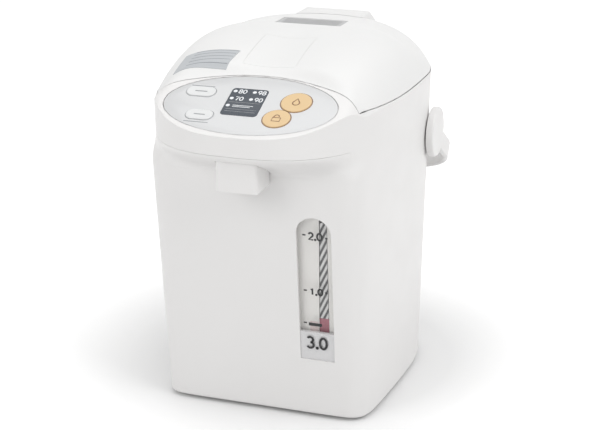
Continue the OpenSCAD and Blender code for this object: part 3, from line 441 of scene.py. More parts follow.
def angle_steps(corner_steps, rear_steps, crowding=1.6):
    """Angles round the plan, crowded towards the two front corners."""
    i = np.arange(corner_steps) / corner_steps
    quarter = np.concatenate([CORNER * (1 - (1 - i) ** crowding),
                              CORNER + (pi / 2 - CORNER) * i ** crowding])
    rear = pi * np.arange(rear_steps) / rear_steps
    mirrored = 2 * pi - quarter[:0:-1]
    return np.concatenate([rear, pi + quarter, [1.5 * pi], mirrored])


ANGLES = angle_steps(44, 110)
print(len(ANGLES), "points round each ring")


# %% Solid from rings
def new_piece(name, points, faces):
    """A mesh object from points in millimetres."""
    mesh = bpy.data.meshes.new(name)
    mesh.from_pydata([tuple(p) for p in np.asarray(points) * MM], [], faces)
    mesh.update()
    return placed(name, mesh)


def rings_faces(count, around, joined=False):
    """The faces over a stack of rings: closed by two ends, or joined last to first."""
    faces = [(k * around + i, k * around + (i + 1) % around,
              (k + 1) % count * around + (i + 1) % around, (k + 1) % count * around + i)
             for k in range(count if joined else count - 1) for i in range(around)]
    if not joined:
        faces.append(tuple(range(around - 1, -1, -1)))
        faces.append(tuple((count - 1) * around + i for i in range(around)))
    return faces


def rings_solid(name, rings):
    rings = np.asarray(rings)
    return new_piece(name, rings.reshape(-1, 3), rings_faces(*rings.shape[:2]))


def level_ring(z, inset=0.0, at=None):
    """One ring of the plan at height z, which may change along the ring."""
    x, y = outline(ANGLES, z, inset)
    return np.stack([x, y, np.broadcast_to(z if at is None else at, x.shape)], axis=1)


HOOD_STEPS, DOME_STEPS = 26, 84


def head_rings(inset=0.0):
    """The head from the body seam to the top of its dome; inner forms reach 1 mm lower."""
    rings = [level_ring(z, inset) for z in np.linspace(SEAM_Z, HOOD_Z, HOOD_STEPS)]
    rings[0][:, 2] = SEAM_Z - (1 if inset > 0 else 0)
    edge = edge_z(ANGLES)
    for share in np.linspace(0, 1, 9)[1:]:
        rings.append(level_ring(mix(HOOD_Z, edge - inset, share), inset))
    rx, ry = outline(ANGLES, edge, inset)
    for rho in np.sin(np.linspace(pi / 2, 0, DOME_STEPS))[1:-1]:
        x, y = rx * rho, APEX_Y + (ry - APEX_Y) * rho
        rings.append(np.stack([x, y, dome_z(x, y, rho) - inset], axis=1))
    return rings


print(len(head_rings()), "rings make the head")

# %% [markdown]
# ## Cutting and joining
# A moulded shell is easiest to make whole and then cut: each opening or seam is a closed cutter,
# and a boolean takes it away. The Manifold solver is exact enough and quick. A thin tube taken
# along a seam leaves the soft groove that two moulded edges make where they meet.


# %% Cutters
def on_frame(place, points):
    """Points (x, y, z) of a frame as points of the pot."""
    return np.asarray(points) @ np.array(place.to_3x3()).T + np.array(place.translation)


def prism(name, plan, low, high, place=Matrix()):
    """A closed prism over a plan of (x, y) points, placed by a matrix in millimetres."""
    plan = np.asarray(plan, dtype=float)
    rings = [np.column_stack([plan, np.full(len(plan), z)]) for z in (low, high)]
    return rings_solid(name, on_frame(place, rings))


def headings(line, closed):
    """The unit direction of a line at each of its points."""
    ahead = (np.roll(line, -1, axis=0) - np.roll(line, 1, axis=0) if closed
             else np.gradient(line, axis=0))
    return ahead / np.linalg.norm(ahead, axis=1)[:, None]


def tube(name, line, radius, closed=True, sides=10, flat=1.0):
    """A tube along a line of points; flat squeezes it upwards."""
    line = np.asarray(line, dtype=float)
    ahead = headings(line, closed)
    side = np.cross(ahead, (0, 0, 1.0))
    side /= np.linalg.norm(side, axis=1)[:, None]
    up = np.cross(side, ahead)
    turn = np.linspace(0, 2 * pi, sides, endpoint=False)
    rings = line[:, None] + radius * (np.cos(turn)[:, None] * side[:, None]
                                      + flat * np.sin(turn)[:, None] * up[:, None])
    return new_piece(name, rings.reshape(-1, 3), rings_faces(len(line), sides, joined=closed))


def carve(piece, *cutters, how="DIFFERENCE", keep=()):
    """Applies booleans to a piece and removes the cutters that aren't kept."""
    for cutter in cutters:
        step = piece.modifiers.new("carve", "BOOLEAN")
        step.object, step.operation, step.solver = cutter, how, "MANIFOLD"
    graph = bpy.context.evaluated_depsgraph_get()
    made = bpy.data.meshes.new_from_object(piece.evaluated_get(graph))
    piece.modifiers.clear()
    piece.data = made
    for cutter in cutters:
        if cutter not in keep:
            bpy.data.objects.remove(cutter)


SHARP = radians(32)


def settle(piece, body, slot, *stands_for):
    """Gives a piece its finish and puts it on its body in place of the frame's nodes."""
    mesh = piece.data
    mesh.materials.clear()
    mesh.materials.append(FINISH[slot])
    mesh.polygons.foreach_set("use_smooth", [True] * len(mesh.polygons))
    mesh.set_sharp_from_angle(angle=SHARP)
    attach(piece, body)
    if stands_for:
        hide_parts(*stands_for)
    print(piece.name, "has", len(mesh.polygons), "faces")


print("edges above", round(degrees(SHARP)), "degrees stay sharp")


# %% Frames on the panel and the front face
def frame_at(place, tilt):
    return Matrix.Translation(Vector(place)) @ Matrix.Rotation(tilt, 4, "X")


ON_PANEL = frame_at((0, PANEL_Y, PANEL_Z), PANEL_TILT)
LEAN = atan(FRONT_LEAN)
# Across, up along the face, and out of it
ON_FRONT = frame_at((0, -FRONT_REACH, BOTTOM_Z), LEAN) @ Matrix.Rotation(pi / 2, 4, "X")
print("the front leans by", round(degrees(LEAN), 1), "degrees")

# %% [markdown]
# ## Outer body
# The body is one thin moulded wall, open at both ends. It is built as two nested stacks of rings,
# an outer and an inner, so that the wall shows its true thickness at every opening. The lower edge
# rolls under in a small radius, as the mould leaves it.

# %% Body wall
EDGE_ROUND = 2.2


def rounding(radius):
    """How far a rounded edge stands back from its corner, in both directions."""
    return [(radius * (1 - cos(a)), radius * (1 - sin(a)))
            for a in np.linspace(0, pi / 2, 7)]


levels = [(BOTTOM_Z + up, inwards) for up, inwards in rounding(EDGE_ROUND)]
levels += [(z, 0.0) for z in np.linspace(9, SEAM_Z - HAIRLINE, 44)]
body_wall = rings_solid("body_wall", [level_ring(z, inset) for z, inset in levels])
inside = rings_solid("inside", [level_ring(z, WALL, at=at) for z, at in
                                ((BOTTOM_Z, BOTTOM_Z - 1), (9, 9), (110, 110),
                                 (SEAM_Z, SEAM_Z + 1))])
carve(body_wall, inside)
print("wall", WALL, "mm thick, from", BOTTOM_Z, "to", SEAM_Z)

# %% [markdown]
# ## Openings in the body
# The gauge looks out through an arched window, the mains inlet sits low at the rear, and a pin on
# each side carries the handle. Straight prisms cut them, as a moulded opening has straight walls.

# %% Gauge opening, inlet and handle holes
GAUGE_X, GAUGE_W = 50, 29
GAUGE_LOW, GAUGE_HIGH = 52, 180


def arch(grow=0.0):
    """The gauge opening's outline on the front face, with a round top."""
    r = GAUGE_W / 2 + grow
    top = [(GAUGE_X + r * cos(a), GAUGE_HIGH - GAUGE_W / 2 + r * sin(a))
           for a in np.linspace(0, pi, 28)]
    return top + [(GAUGE_X - r, GAUGE_LOW - grow), (GAUGE_X + r, GAUGE_LOW - grow)]


def oval(rx, ry, steps):
    return [(rx * cos(a), ry * sin(a)) for a in np.linspace(0, 2 * pi, steps, endpoint=False)]


def circle(radius, steps=48):
    return oval(radius, radius, steps)


def box_plan(x0, y0, x1, y1, grow=0.0):
    return [(x0 - grow, y0 - grow), (x1 + grow, y0 - grow), (x1 + grow, y1 + grow),
            (x0 - grow, y1 + grow)]


def moved(plan, at):
    return [(x + at[0], y + at[1]) for x, y in plan]


HANDLE_Y, HANDLE_Z, PIN_BORE_R = 25, 212, 6.05
SOCKET_Z, SOCKET_HALF_W, SOCKET_HALF_H = 38, 17, 11
ACROSS = Matrix.Rotation(pi / 2, 4, "Y")


def pin_cut():
    at_pin = Matrix.Translation((0, HANDLE_Y, HANDLE_Z)) @ ACROSS
    return prism("pin_cut", circle(PIN_BORE_R), -130, 130, at_pin)


carve(body_wall, prism("gauge_cut", arch(), -9, 6, ON_FRONT), pin_cut(),
      prism("inlet_cut", box_plan(-SOCKET_HALF_W, 77, SOCKET_HALF_W, 120),
            SOCKET_Z - SOCKET_HALF_H, SOCKET_Z + SOCKET_HALF_H))
settle(body_wall, "pot", "shell_white", "outer_body")

# %% [markdown]
# ## Head and lid
# The head's skin and the lid are cut from the same form, so that the dome runs on smoothly across
# the seam between them. The lid's plan is a bowed front edge and everything behind it.

# %% Lid plan and seam line
LID_FRONT, LID_BOW = 111, 23
LID_CUT_W = 82


def bow_y(x, grow=0.0):
    return -LID_FRONT - LID_BOW * (np.asarray(x) / LID_CUT_W) ** 2 - grow


def lid_plan(grow=0.0, reach=124):
    x = np.linspace(-reach, reach, 65)
    return list(zip(x, bow_y(x, grow))) + [(reach, reach), (-reach, reach)]


def surface_z(x, y):
    """Height of the dome over any plan point."""
    dense = np.linspace(0, 2 * pi, 1441)
    rx, ry = outline(dense, edge_z(dense))
    around = np.unwrap(np.arctan2(ry - APEX_Y, rx))
    here = np.arctan2(np.asarray(y) - APEX_Y, np.asarray(x))
    here = np.where(here < around[0], here + 2 * pi, here)
    t = np.interp(here, around, dense)
    ex, ey = outline(t, edge_z(t))
    rho = np.hypot(x, y - APEX_Y) / np.hypot(ex, ey - APEX_Y)
    return dome_z(np.asarray(x, float), np.asarray(y, float), np.clip(rho, 1e-4, 1))


def seam_line():
    """The closed line where lid and head meet on the outside."""
    t = np.linspace(-radians(70), pi + radians(70), 321)
    ex, ey = outline(t, edge_z(t))
    rho = np.linspace(1, 0.5, 400)[:, None]
    x, y = ex * rho, APEX_Y + (ey - APEX_Y) * rho
    z = dome_z(x, y, rho)
    k = np.argmax(z >= LID_SEAM_Z + 0.15, axis=0)
    cols = np.arange(len(t))
    side = np.stack([x[k, cols], y[k, cols], z[k, cols]], axis=1)
    side = side[side[:, 1] > bow_y(side[:, 0])]
    corner_x = abs(side[0, 0])
    fx = np.linspace(-corner_x, corner_x, 90)[1:-1]
    front = np.stack([fx, bow_y(fx), surface_z(fx, bow_y(fx))], axis=1)
    return np.concatenate([front, side])


lid_seam = seam_line()
print("lid seam runs from z", round(lid_seam[:, 2].min(), 1), "to", round(lid_seam[:, 2].max(), 1))

# %% Head skin
SEAM_GROOVE, PANEL_GROOVE = 0.5, 0.45
PANEL_SEAT, MOUTH_R = 2.2, 80
LATCH_LOW, LATCH_HIGH, LATCH_HALF_W, LATCH_GAP = 268.4, 274, 8, 0.1
COVER_HALF_W, COVER_REAR, COVER_GAP = 80, 126, 0.2


def ellipse(grow=0.0):
    return oval(PANEL_HALF_W + grow, PANEL_HALF_D + grow, 120)


def head_solid(name, inset=0.0):
    return rings_solid(name, head_rings(inset))


def hood_block(name, grow, top):
    plan = box_plan(-COVER_HALF_W, -BEAK_REACH - 10, COVER_HALF_W, -COVER_REAR, grow)
    return prism(name, plan, SEAM_Z - 2, top)


head_skin = head_solid("head_skin")
hollow = head_solid("hollow", WALL)
carve(hollow, prism("under_panel", box_plan(-200, -200, 200, 200), -4, 100, ON_PANEL),
      prism("under_lid", lid_plan(WALL), LID_SEAM_Z - WALL, 400))
seam_groove = tube("seam_groove", lid_seam, SEAM_GROOVE)
panel_edge = on_frame(ON_PANEL, [(x, y, 0) for x, y in ellipse(0.3)])
panel_groove = tube("panel_groove", panel_edge, PANEL_GROOVE)
carve(head_skin, hollow, prism("lid_cut", lid_plan(), LID_SEAM_Z, 400),
      hood_block("hood_cut", HAIRLINE, HOOD_Z), pin_cut(),
      prism("panel_cut", ellipse(0.15), -PANEL_SEAT, 60, ON_PANEL),
      prism("well_cut", ellipse(-5), -20, 30, ON_PANEL),
      prism("mouth_cut", circle(MOUTH_R, 96), LID_SEAM_Z - 4, LID_SEAM_Z + 6),
      prism("latch_cut", box_plan(-LATCH_HALF_W - 1, -LID_FRONT - 4, LATCH_HALF_W + 1,
                                  -LID_FRONT + 6), LATCH_LOW - LATCH_GAP, LATCH_HIGH + LATCH_GAP),
      seam_groove, panel_groove, keep=(seam_groove,))
settle(head_skin, "pot", "shell_white", "top_casing")

# %% [markdown]
# ## Spout cover
# The hood's lower front is a cover of its own, so that the spout can be reached. Modelled apart,
# its surface would have to be matched, so a block keeps this part of the same form instead.

# %% Spout cover
GUARD_AT, GUARD_HALF_W, GUARD_HALF_D = (0, 22 - BEAK_REACH), 17, 15
GUARD_LOW, GUARD_GAP = SEAM_Z - 6, 0.2
hood_skin = head_solid("hood_skin")
carve(hood_skin, head_solid("hood_hollow", WALL))
carve(hood_skin, hood_block("hood_keep", 0, HOOD_Z - COVER_GAP), how="INTERSECT")
guard_cut = box_plan(-GUARD_HALF_W, -GUARD_HALF_D, GUARD_HALF_W, GUARD_HALF_D, GUARD_GAP)
carve(hood_skin, prism("guard_cut", moved(guard_cut, GUARD_AT), GUARD_LOW - 1, GUARD_LOW + 60))
settle(hood_skin, "pot", "shell_white", "spout_cover")

# %% [markdown]
# ## Lid cover
# The lid is the same form once more, kept inside its own plan with a small gap and hollowed by a
# smaller copy, with openings for flap, vent, latch and hinge. The seam's tube cuts it as it cut the
# head, so the groove between them is one round channel.

# %% Lid skin
LEVER_BOX, FLAP_GAP = (-22, -102, 22, -46), 0.2
VENT_BOX, VENT_GAP = (-30, -2.5, 28, 22.5), 0.1
ARM_HALF_W, ARM_SLOT = 27.9, 3.8
LID_GAP, LID_LIFT = 0.4, 0.3
lid_skin = head_solid("lid_skin")
carve(lid_skin, prism("lid_keep", lid_plan(-LID_GAP), LID_SEAM_Z + LID_LIFT, 400), how="INTERSECT")
lid_hollow = head_solid("lid_hollow", WALL)
carve(lid_hollow, prism("hollow_keep", lid_plan(-LID_GAP - WALL), SEAM_Z - 2, 400), how="INTERSECT")
arm_plan = box_plan(-ARM_HALF_W, HEAD_REAR_REACH - 12, ARM_HALF_W, HEAD_REAR_REACH + 30)
carve(lid_skin, lid_hollow, prism("arm_cut", arm_plan, LID_SEAM_Z - 1, LID_SEAM_Z + ARM_SLOT),
      prism("flap_cut", box_plan(*LEVER_BOX, FLAP_GAP), TOP_Z - 40, TOP_Z + 40),
      prism("vent_cut", box_plan(*VENT_BOX, VENT_GAP), TOP_Z - 8, TOP_Z + 12),
      prism("nose_cut", box_plan(-LATCH_HALF_W, -LID_FRONT - 1, LATCH_HALF_W, -LID_FRONT + 8),
            LATCH_LOW, LATCH_HIGH), seam_groove)
settle(lid_skin, "lid", "lid_white", "lid_cover")

# %% [markdown]
# ## Lever flap
# The flap is a piece of the dome cut free: pressing its front edge turns it about a pin near its
# rear, and the bolt behind the lid's edge slides back. It repeats the dome's own surface, so that
# the closed lid reads as one skin with a hairline round the flap.

# %% Flap
LEVER_T = 2.2
LEVER_PIN = (LEVER_BOX[3] - 3, TOP_Z - 14)
BARREL_X, BARREL_HALF_L, BARREL_R, BARREL_BORE_R = 14.25, 6.75, 3, 1.56
flap = head_solid("flap")
carve(flap, prism("flap_keep", box_plan(*LEVER_BOX), TOP_Z - 40, TOP_Z + 40), how="INTERSECT")
carve(flap, head_solid("flap_under", LEVER_T))
settle(flap, "lid_lever", "lid_white", "lid_lever")
for side in (-1, 1):
    place = Matrix.Translation((side * BARREL_X, *LEVER_PIN)) @ ACROSS
    barrel = prism("flap_barrel", circle(BARREL_R), -BARREL_HALF_L, BARREL_HALF_L, place)
    carve(barrel, prism("flap_bore", circle(BARREL_BORE_R, 24), -8, 8, place))
    settle(barrel, "lid_lever", "lid_white")

# %% [markdown]
# ## Hump over the hinge
# The hump covers the lid's knuckle. It is a taut skin over a few rounded corners, so its solid is
# the convex wrapping of small balls, and the dome is cut from its underside.


# %% Hump
def ball(centre, radius, rings=11, around=28):
    up, turn = np.meshgrid(np.linspace(-pi / 2, pi / 2, rings),
                           np.linspace(0, 2 * pi, around, endpoint=False))
    unit = np.stack([np.cos(up) * np.cos(turn), np.cos(up) * np.sin(turn), np.sin(up)], axis=-1)
    return unit.reshape(-1, 3) * radius + np.array(centre)


def wrapping(name, points):
    """The convex solid around a cloud of points."""
    made = bmesh.new()
    for p in points:
        made.verts.new(Vector(p) * MM)
    done = bmesh.ops.convex_hull(made, input=made.verts)
    spare = {v for v in done["geom_interior"] + done["geom_unused"]
             if isinstance(v, bmesh.types.BMVert)}
    bmesh.ops.delete(made, geom=list(spare), context="VERTS")
    mesh = bpy.data.meshes.new(name)
    made.to_mesh(mesh)
    made.free()
    return placed(name, mesh)


HUMP_HALF_W, HUMP_BASE_HALF_W, HUMP_TOP = 31, 34.5, TOP_Z - 2
HUMP_FRONT, HUMP_CREST, HUMP_REAR = 34, 84, HEAD_REAR_REACH + 5
HUMP_LOW = LID_SEAM_Z + 6
r = 3
corners = [(HUMP_HALF_W - r, HUMP_FRONT, HUMP_TOP - r), (HUMP_HALF_W - r, HUMP_CREST - r, HUMP_TOP - r),
           (HUMP_BASE_HALF_W - r, 62, TOP_Z - 22), (HUMP_BASE_HALF_W - r, HUMP_REAR - r, TOP_Z - 22),
           (HUMP_BASE_HALF_W - r, HUMP_REAR - r, HUMP_LOW + r)]
cloud = np.concatenate([ball((side * x, y, z), r) for x, y, z in corners for side in (-1, 1)])
hump = wrapping("hump", cloud)
carve(hump, head_solid("dome_under", -0.15),
      prism("hump_foot", box_plan(-100, 0, 100, 200), 200, HUMP_LOW + 0.5))
settle(hump, "lid", "lid_white", "hinge_cap")

# %% [markdown]
# ## Carry handle
# The handle is one bent bar with a disc at each end that turns on a pin. Its section is a rounded
# rectangle swept along a straight arm, a quarter circle and the grip, then along the same line
# mirrored. The discs have a broad rounded rim, because a hand slides over them.

# %% Handle bar and discs
HANDLE_REACH, HANDLE_T, HANDLE_W, HANDLE_CORNER = 113, 4.6, 17, 60
HANDLE_REST = radians(30)
HANDLE_IN = HEAD_HALF_W + 0.4
BOSS_R, BOSS_T, BOSS_ROUND = 21.5, 6.2, 1.6
BORE_FROM, BORE_TO = 90, 108.1
handle_place = frame_at((0, HANDLE_Y, HANDLE_Z), -HANDLE_REST)


def rounded_rect(half_w, half_h, r, steps=6):
    """A rectangle with round corners, as a closed line of (x, y) points."""
    turn = np.linspace(0, pi / 2, steps)
    line = []
    for k, (sx, sy) in enumerate(((1, 1), (-1, 1), (-1, -1), (1, -1))):
        for a in turn:
            line.append((sx * (half_w - r) + r * cos(a + k * pi / 2),
                         sy * (half_h - r) + r * sin(a + k * pi / 2)))
    return line


arm = HANDLE_REACH - HANDLE_CORNER
bend = np.linspace(0, pi / 2, 40)
middle_r = HANDLE_CORNER + HANDLE_T / 2
right = [(HANDLE_IN + HANDLE_T / 2, u, 0.0) for u in np.linspace(0, arm, 12)[:-1]]
right += [(HANDLE_IN - HANDLE_CORNER + middle_r * cos(a), arm + middle_r * sin(a), a)
          for a in bend]
left = [(-x, u, pi - a) for x, u, a in reversed(right)]
section = rounded_rect(HANDLE_T / 2, HANDLE_W / 2, 2.0)
rings = [[(x + n * cos(a), u + n * sin(a), w) for n, w in section]
         for x, u, a in right + left]
handle = rings_solid("handle", on_frame(handle_place, rings))
for side in (-1, 1):
    profile = [(BOSS_R - 0.4, 0.0), (BOSS_R, 0.4)]
    profile += [(BOSS_R - back, BOSS_T - down) for back, down in rounding(BOSS_ROUND)]
    rings = [[(side * (HANDLE_IN + x), up, side * ahead) for up, ahead in circle(rad, 96)]
             for rad, x in profile]
    carve(handle, rings_solid("disc", on_frame(handle_place, rings)), how="UNION")
    carve(handle, prism("bore", circle(PIN_BORE_R), *sorted((side * BORE_FROM, side * BORE_TO)),
                        handle_place @ ACROSS))
settle(handle, "carry_handle", "shell_white", "carry_handle")

# %% [markdown]
# ## Spout guard and base disc
# The guard is a short rounded sleeve under the beak that keeps the stream away from fingers; it is
# open below. The base disc is turned, with a small radius at its rim.

# %% Guard and base
GUARD_TOP, GUARD_T, NOZZLE_HOLE_R = HOOD_Z - 6.5, 2, 5.1


def guard_plan(grow, r):
    return moved(rounded_rect(GUARD_HALF_W + grow, GUARD_HALF_D + grow, r), GUARD_AT)


guard = prism("guard", guard_plan(0, 3), GUARD_LOW, GUARD_TOP)
carve(guard, prism("guard_room", guard_plan(-GUARD_T, 1.5), GUARD_LOW - 1, GUARD_TOP - GUARD_T),
      prism("guard_hole", moved(circle(NOZZLE_HOLE_R), GUARD_AT), GUARD_LOW, GUARD_TOP + 5))
settle(guard, "pot", "shell_white", "spout_guard")

BASE_R, PAD_T, DISC_TOP, RIM_ROUND = 80, 1.5, 5.0, 1.2
CENTRE_PAD_R = 14.05
HUB_R, HUB_TOP, HUB_HOLE_R = 12, 10, 2.2
rim = [(BASE_R - back, DISC_TOP - down) for back, down in rounding(RIM_ROUND)]
turned = [(CENTRE_PAD_R, PAD_T), (BASE_R - 0.6, PAD_T), (BASE_R, PAD_T + 0.6), *rim,
          (HUB_R, DISC_TOP), (HUB_R, HUB_TOP), (HUB_HOLE_R, HUB_TOP)]
base = rings_solid("base_plate", [[(x, y, z) for x, y in circle(r, 144)] for r, z in turned])
carve(base, prism("pad_room", circle(CENTRE_PAD_R), -1, PAD_T + 0.02))
settle(base, "base", "trim_grey", "base_disc")

# %% [markdown]
# ## Control panel
# The panel is a thin coated plate let into the head, with a softened rim. Its openings leave a
# fine even gap round each key, and bosses under it take its screws.

# %% Panel plate
KEY_GAP, FLANGE = 0.15, 0.35
DISPENSE_AT, DISPENSE_R = (35.5, 7.6), 11.9
UNLOCK_AT, UNLOCK_R = (26.4, -14.2), 10.7
SELECT_AT, SELECT_L = (-44, 12.1), 24
TIMER_AT, TIMER_L = (-35, -17), 22
PILL_W = 12
DISPLAY_AT, DISPLAY_HALF = (-5, 3), (15, 17.5)
DISPLAY_CORNER, GLASS_CORNER, GLASS_GAP = 3.2, 3.0, 0.15
BOSSES = [(45.5, -19), (46, -8), (-17, -21), (-46, -2)]


def stadium(length, width):
    return rounded_rect(length / 2, width / 2, width / 2 - 0.01, 14)


def round_key(at, radius):
    """A function that draws a round key's plan, grown all round; a pill's ignores the steps."""
    return lambda grow, steps: moved(circle(radius + grow, steps), at)


def pill_key(at, length):
    return lambda grow, steps: moved(stadium(length + 2 * grow, PILL_W + 2 * grow), at)


def display_plan(grow, corner):
    half_w, half_h = DISPLAY_HALF
    return moved(rounded_rect(half_w + grow, half_h + grow, corner), DISPLAY_AT)


# Each key's node, then its piece's name, plan, least half size and finish
KEYS = {
    "key_dispense": ("key_round_large", round_key(DISPENSE_AT, DISPENSE_R), DISPENSE_R, "key_orange"),
    "key_unlock": ("key_round_small", round_key(UNLOCK_AT, UNLOCK_R), UNLOCK_R, "key_orange"),
    "key_select": ("key_pill_upper", pill_key(SELECT_AT, SELECT_L), PILL_W / 2, "key_white"),
    "key_timer": ("key_pill_lower", pill_key(TIMER_AT, TIMER_L), PILL_W / 2, "key_white"),
}


def plate_rings(name, shape, profile, place=ON_PANEL):
    """A solid whose plan is shape(grow) at each (height, grow) of its profile."""
    rings = [[(x, y, z) for x, y in shape(grow)] for z, grow in profile]
    return rings_solid(name, on_frame(place, rings))


panel = plate_rings("panel_face", ellipse, [(-2, 0), (-0.5, 0), (-0.15, -0.12), (0, -0.45)])
carve(panel, *[prism("boss", moved(circle(2.5, 24), at), -11, -1.9, ON_PANEL) for at in BOSSES],
      how="UNION")
holes = [plan(KEY_GAP, 72) for name, plan, reach, slot in KEYS.values()] + [display_plan(0, DISPLAY_CORNER)]
carve(panel, *[prism("hole", hole, -3, 3, ON_PANEL) for hole in holes],
      *[prism("boss_bore", moved(circle(1.35, 20), at), -12, -4.5, ON_PANEL) for at in BOSSES])
settle(panel, "pot", "panel_silver", "operation_panel")

# %% [markdown]
# ## Keys and display
# A key is one small moulding: a flange holds it under the plate, and a soft edge and a shallow dish
# guide the finger. All four share one profile, so they catch the light alike; the glass has its own.

# %% Keys
KEY_LOW, KEY_STEP, KEY_PROUD = -3.3, -2.1, 0.8


def key_profile(reach):
    """A flange under the plate, a rounded edge and a shallow dish."""
    return [(KEY_LOW, FLANGE), (KEY_STEP, FLANGE), (KEY_STEP, 0), (0.3, 0), (0.58, -0.08),
            (0.74, -0.28), (KEY_PROUD, -0.6), (0.78, -1.2), (0.66, -0.3 * reach),
            (0.56, -0.55 * reach), (0.52, -0.8 * reach)]


for node, (name, plan, reach, slot) in KEYS.items():
    key = plate_rings(name, lambda grow: plan(grow, 96), key_profile(reach))
    settle(key, node, slot, node)

# %% Display glass
glass = plate_rings("display_glass", lambda grow: display_plan(grow - GLASS_GAP, GLASS_CORNER + grow),
                    [(-2, 0), (-0.1, 0), (0.06, -0.08), (0.1, -0.25)])
settle(glass, "pot", "display_dark", "display_window")


# %% [markdown]
# ## Printed marks
# Printed marks are thin films of ink. An image could carry them, but would need a file and blur
# close up, so each stroke is a flat bar a few hundredths of a millimetre high. Words stand as bars.


# %% Printed strokes
def strokes(name, lines, half_w, slot, low=0.0, high=0.04, place=ON_PANEL, body="pot"):
    """Printed lines as flat bars; lines are (points, closed), all in one frame's plane."""
    points, faces = [], []
    for line, closed in lines:
        line = np.asarray(line, dtype=float)
        ahead = headings(line, closed)
        side = half_w * np.stack([ahead[:, 1], -ahead[:, 0]], axis=1)
        start = len(points)
        for p, s in zip(line, side):
            points += [(*(p + s), low), (*(p + s), high), (*(p - s), high), (*(p - s), low)]
        faces += [tuple(v + start for v in face) for face in rings_faces(len(line), 4, joined=closed)]
    settle(new_piece(name, on_frame(place, points), faces), body, slot)


def bar(x0, x1, y):
    """A level stroke from x0 to x1."""
    return [(x0, y), (x1, y)], False


def arc(cx, cy, rx, ry, start, end, steps=18):
    turn = np.radians(np.linspace(start, end, steps))
    return [(cx + rx * cos(a), cy + ry * sin(a)) for a in turn]


def loop(cx, cy, rx, ry):
    return moved(oval(rx, ry, 24), (cx, cy)), True


DIGITS = {
    "0": [loop(0.5, 0.5, 0.5, 0.5)],
    "1": [([(0.2, 0.78), (0.58, 1.0), (0.58, 0.0)], False)],
    "2": [(arc(0.5, 0.7, 0.46, 0.3, 165, -30) + [(0.05, 0.0), (1.0, 0.0)], False)],
    "3": [(arc(0.46, 0.75, 0.42, 0.25, 150, -80), False), (arc(0.46, 0.26, 0.5, 0.26, 85, -150), False)],
    "7": [([(0.0, 1.0), (1.0, 1.0), (0.35, 0.0)], False)],
    "8": [loop(0.5, 0.77, 0.4, 0.23), loop(0.5, 0.26, 0.5, 0.27)],
    "9": [loop(0.5, 0.69, 0.46, 0.31), ([(0.96, 0.69), (0.88, 0.3), (0.45, 0.0)], False)],
    ".": [loop(0.12, 0.03, 0.07, 0.04)],
}


def number_lines(text, x, y, width, height):
    """The strokes of a plain number whose lower left corner is at (x, y)."""
    lines = []
    for letter in text:
        for line, closed in DIGITS[letter]:
            lines.append(([(x + width * px, y + height * py) for px, py in line], closed))
        x += width * (0.55 if letter == "." else 1.36)
    return lines


print("digits:", *DIGITS)

# %% Prints on the display and the keys, and painted shade round the keys
LAMPS = [(-16.9, 16.2), (-1.1, 16.2), (-16.9, 6.9), (-1.1, 6.9), (-16.9, -2.4)]
GLASS_TOP, DISH = 0.1, 0.56
strokes("display_dots", [loop(x, y, 0.8, 0.8) for x, y in LAMPS], 0.8, "print_white",
        GLASS_TOP, 0.16)
numbers = []
for text, (x, y) in zip(("80", "98", "70", "90"), LAMPS):
    numbers += number_lines(text, x + 3.1, y - 2.2, 2.6, 4.4)
strokes("display_numbers", numbers, 0.42, "print_white", GLASS_TOP, 0.14)
strokes("display_bars", [bar(-13.2, 3.4, -1.7), bar(-13.2, 1.4, -3.4)], 0.3, "print_white",
        GLASS_TOP, 0.14)
strokes("display_rules", [bar(-17.5, 7.5, y) for y in (2.2, -6.6, -9.4)], 0.18, "print_grey",
        GLASS_TOP, 0.13)
strokes("panel_bars", [bar(-54.3, -35, 19.4), bar(-44.9, -25, -26)], 0.45, "print_grey")
# The dark rings on the plate round the keys are painted shade along the keys' edges; round the orange keys
# the brown ring is partly a printed outline too
for name, nodes, grow, half_w, ring_colour in (
        ("key_rims", ("key_dispense", "key_unlock"), 0.55, 0.32, "print_brown"),
        ("pill_rims", ("key_select", "key_timer"), 0.45, 0.2, "print_grey")):
    strokes(name, [(KEYS[node][1](grow, 72), True) for node in nodes], half_w, ring_colour)
drop = arc(0, -0.8, 2.7, 2.7, 150, 390, 24) + [(0.0, 4.6)]
strokes("mark_drop", [(moved(drop, DISPENSE_AT), True)], 0.45, "print_brown",
        DISH, DISH + 0.06, body="key_dispense")
lock = [(-3.2, -3.4), (3.2, -3.4), (3.2, 1.0), (-3.2, 1.0)]
shackle = arc(-0.4, 1.0, 2.2, 3.4, 180, 20, 16)
strokes("mark_lock", [(moved(lock, UNLOCK_AT), True), (moved(shackle, UNLOCK_AT), False)],
        0.42, "print_brown", DISH, DISH + 0.06, body="key_unlock")
for name, (x, y), reach, node in (("mark_select", SELECT_AT, 5, "key_select"),
                                  ("mark_timer", TIMER_AT, 4.5, "key_timer")):
    strokes(name, [bar(x - reach, x + reach, y)], 0.5, "print_grey", 0.55, 0.62, body=node)

# %% [markdown]
# ## Water level gauge
# Behind the clear window lies a tray with the level tube. A frosted strip with slanted bars stands
# close before the tube: water behind it darkens the frost, so the level shows at a glance. A liner
# closes the tray on both sides of the tube; its pale finish is painted light for the dim tray. The
# litre marks are printed on the window, whose lower end is backed by a solid block that carries the
# pot's size in litres.

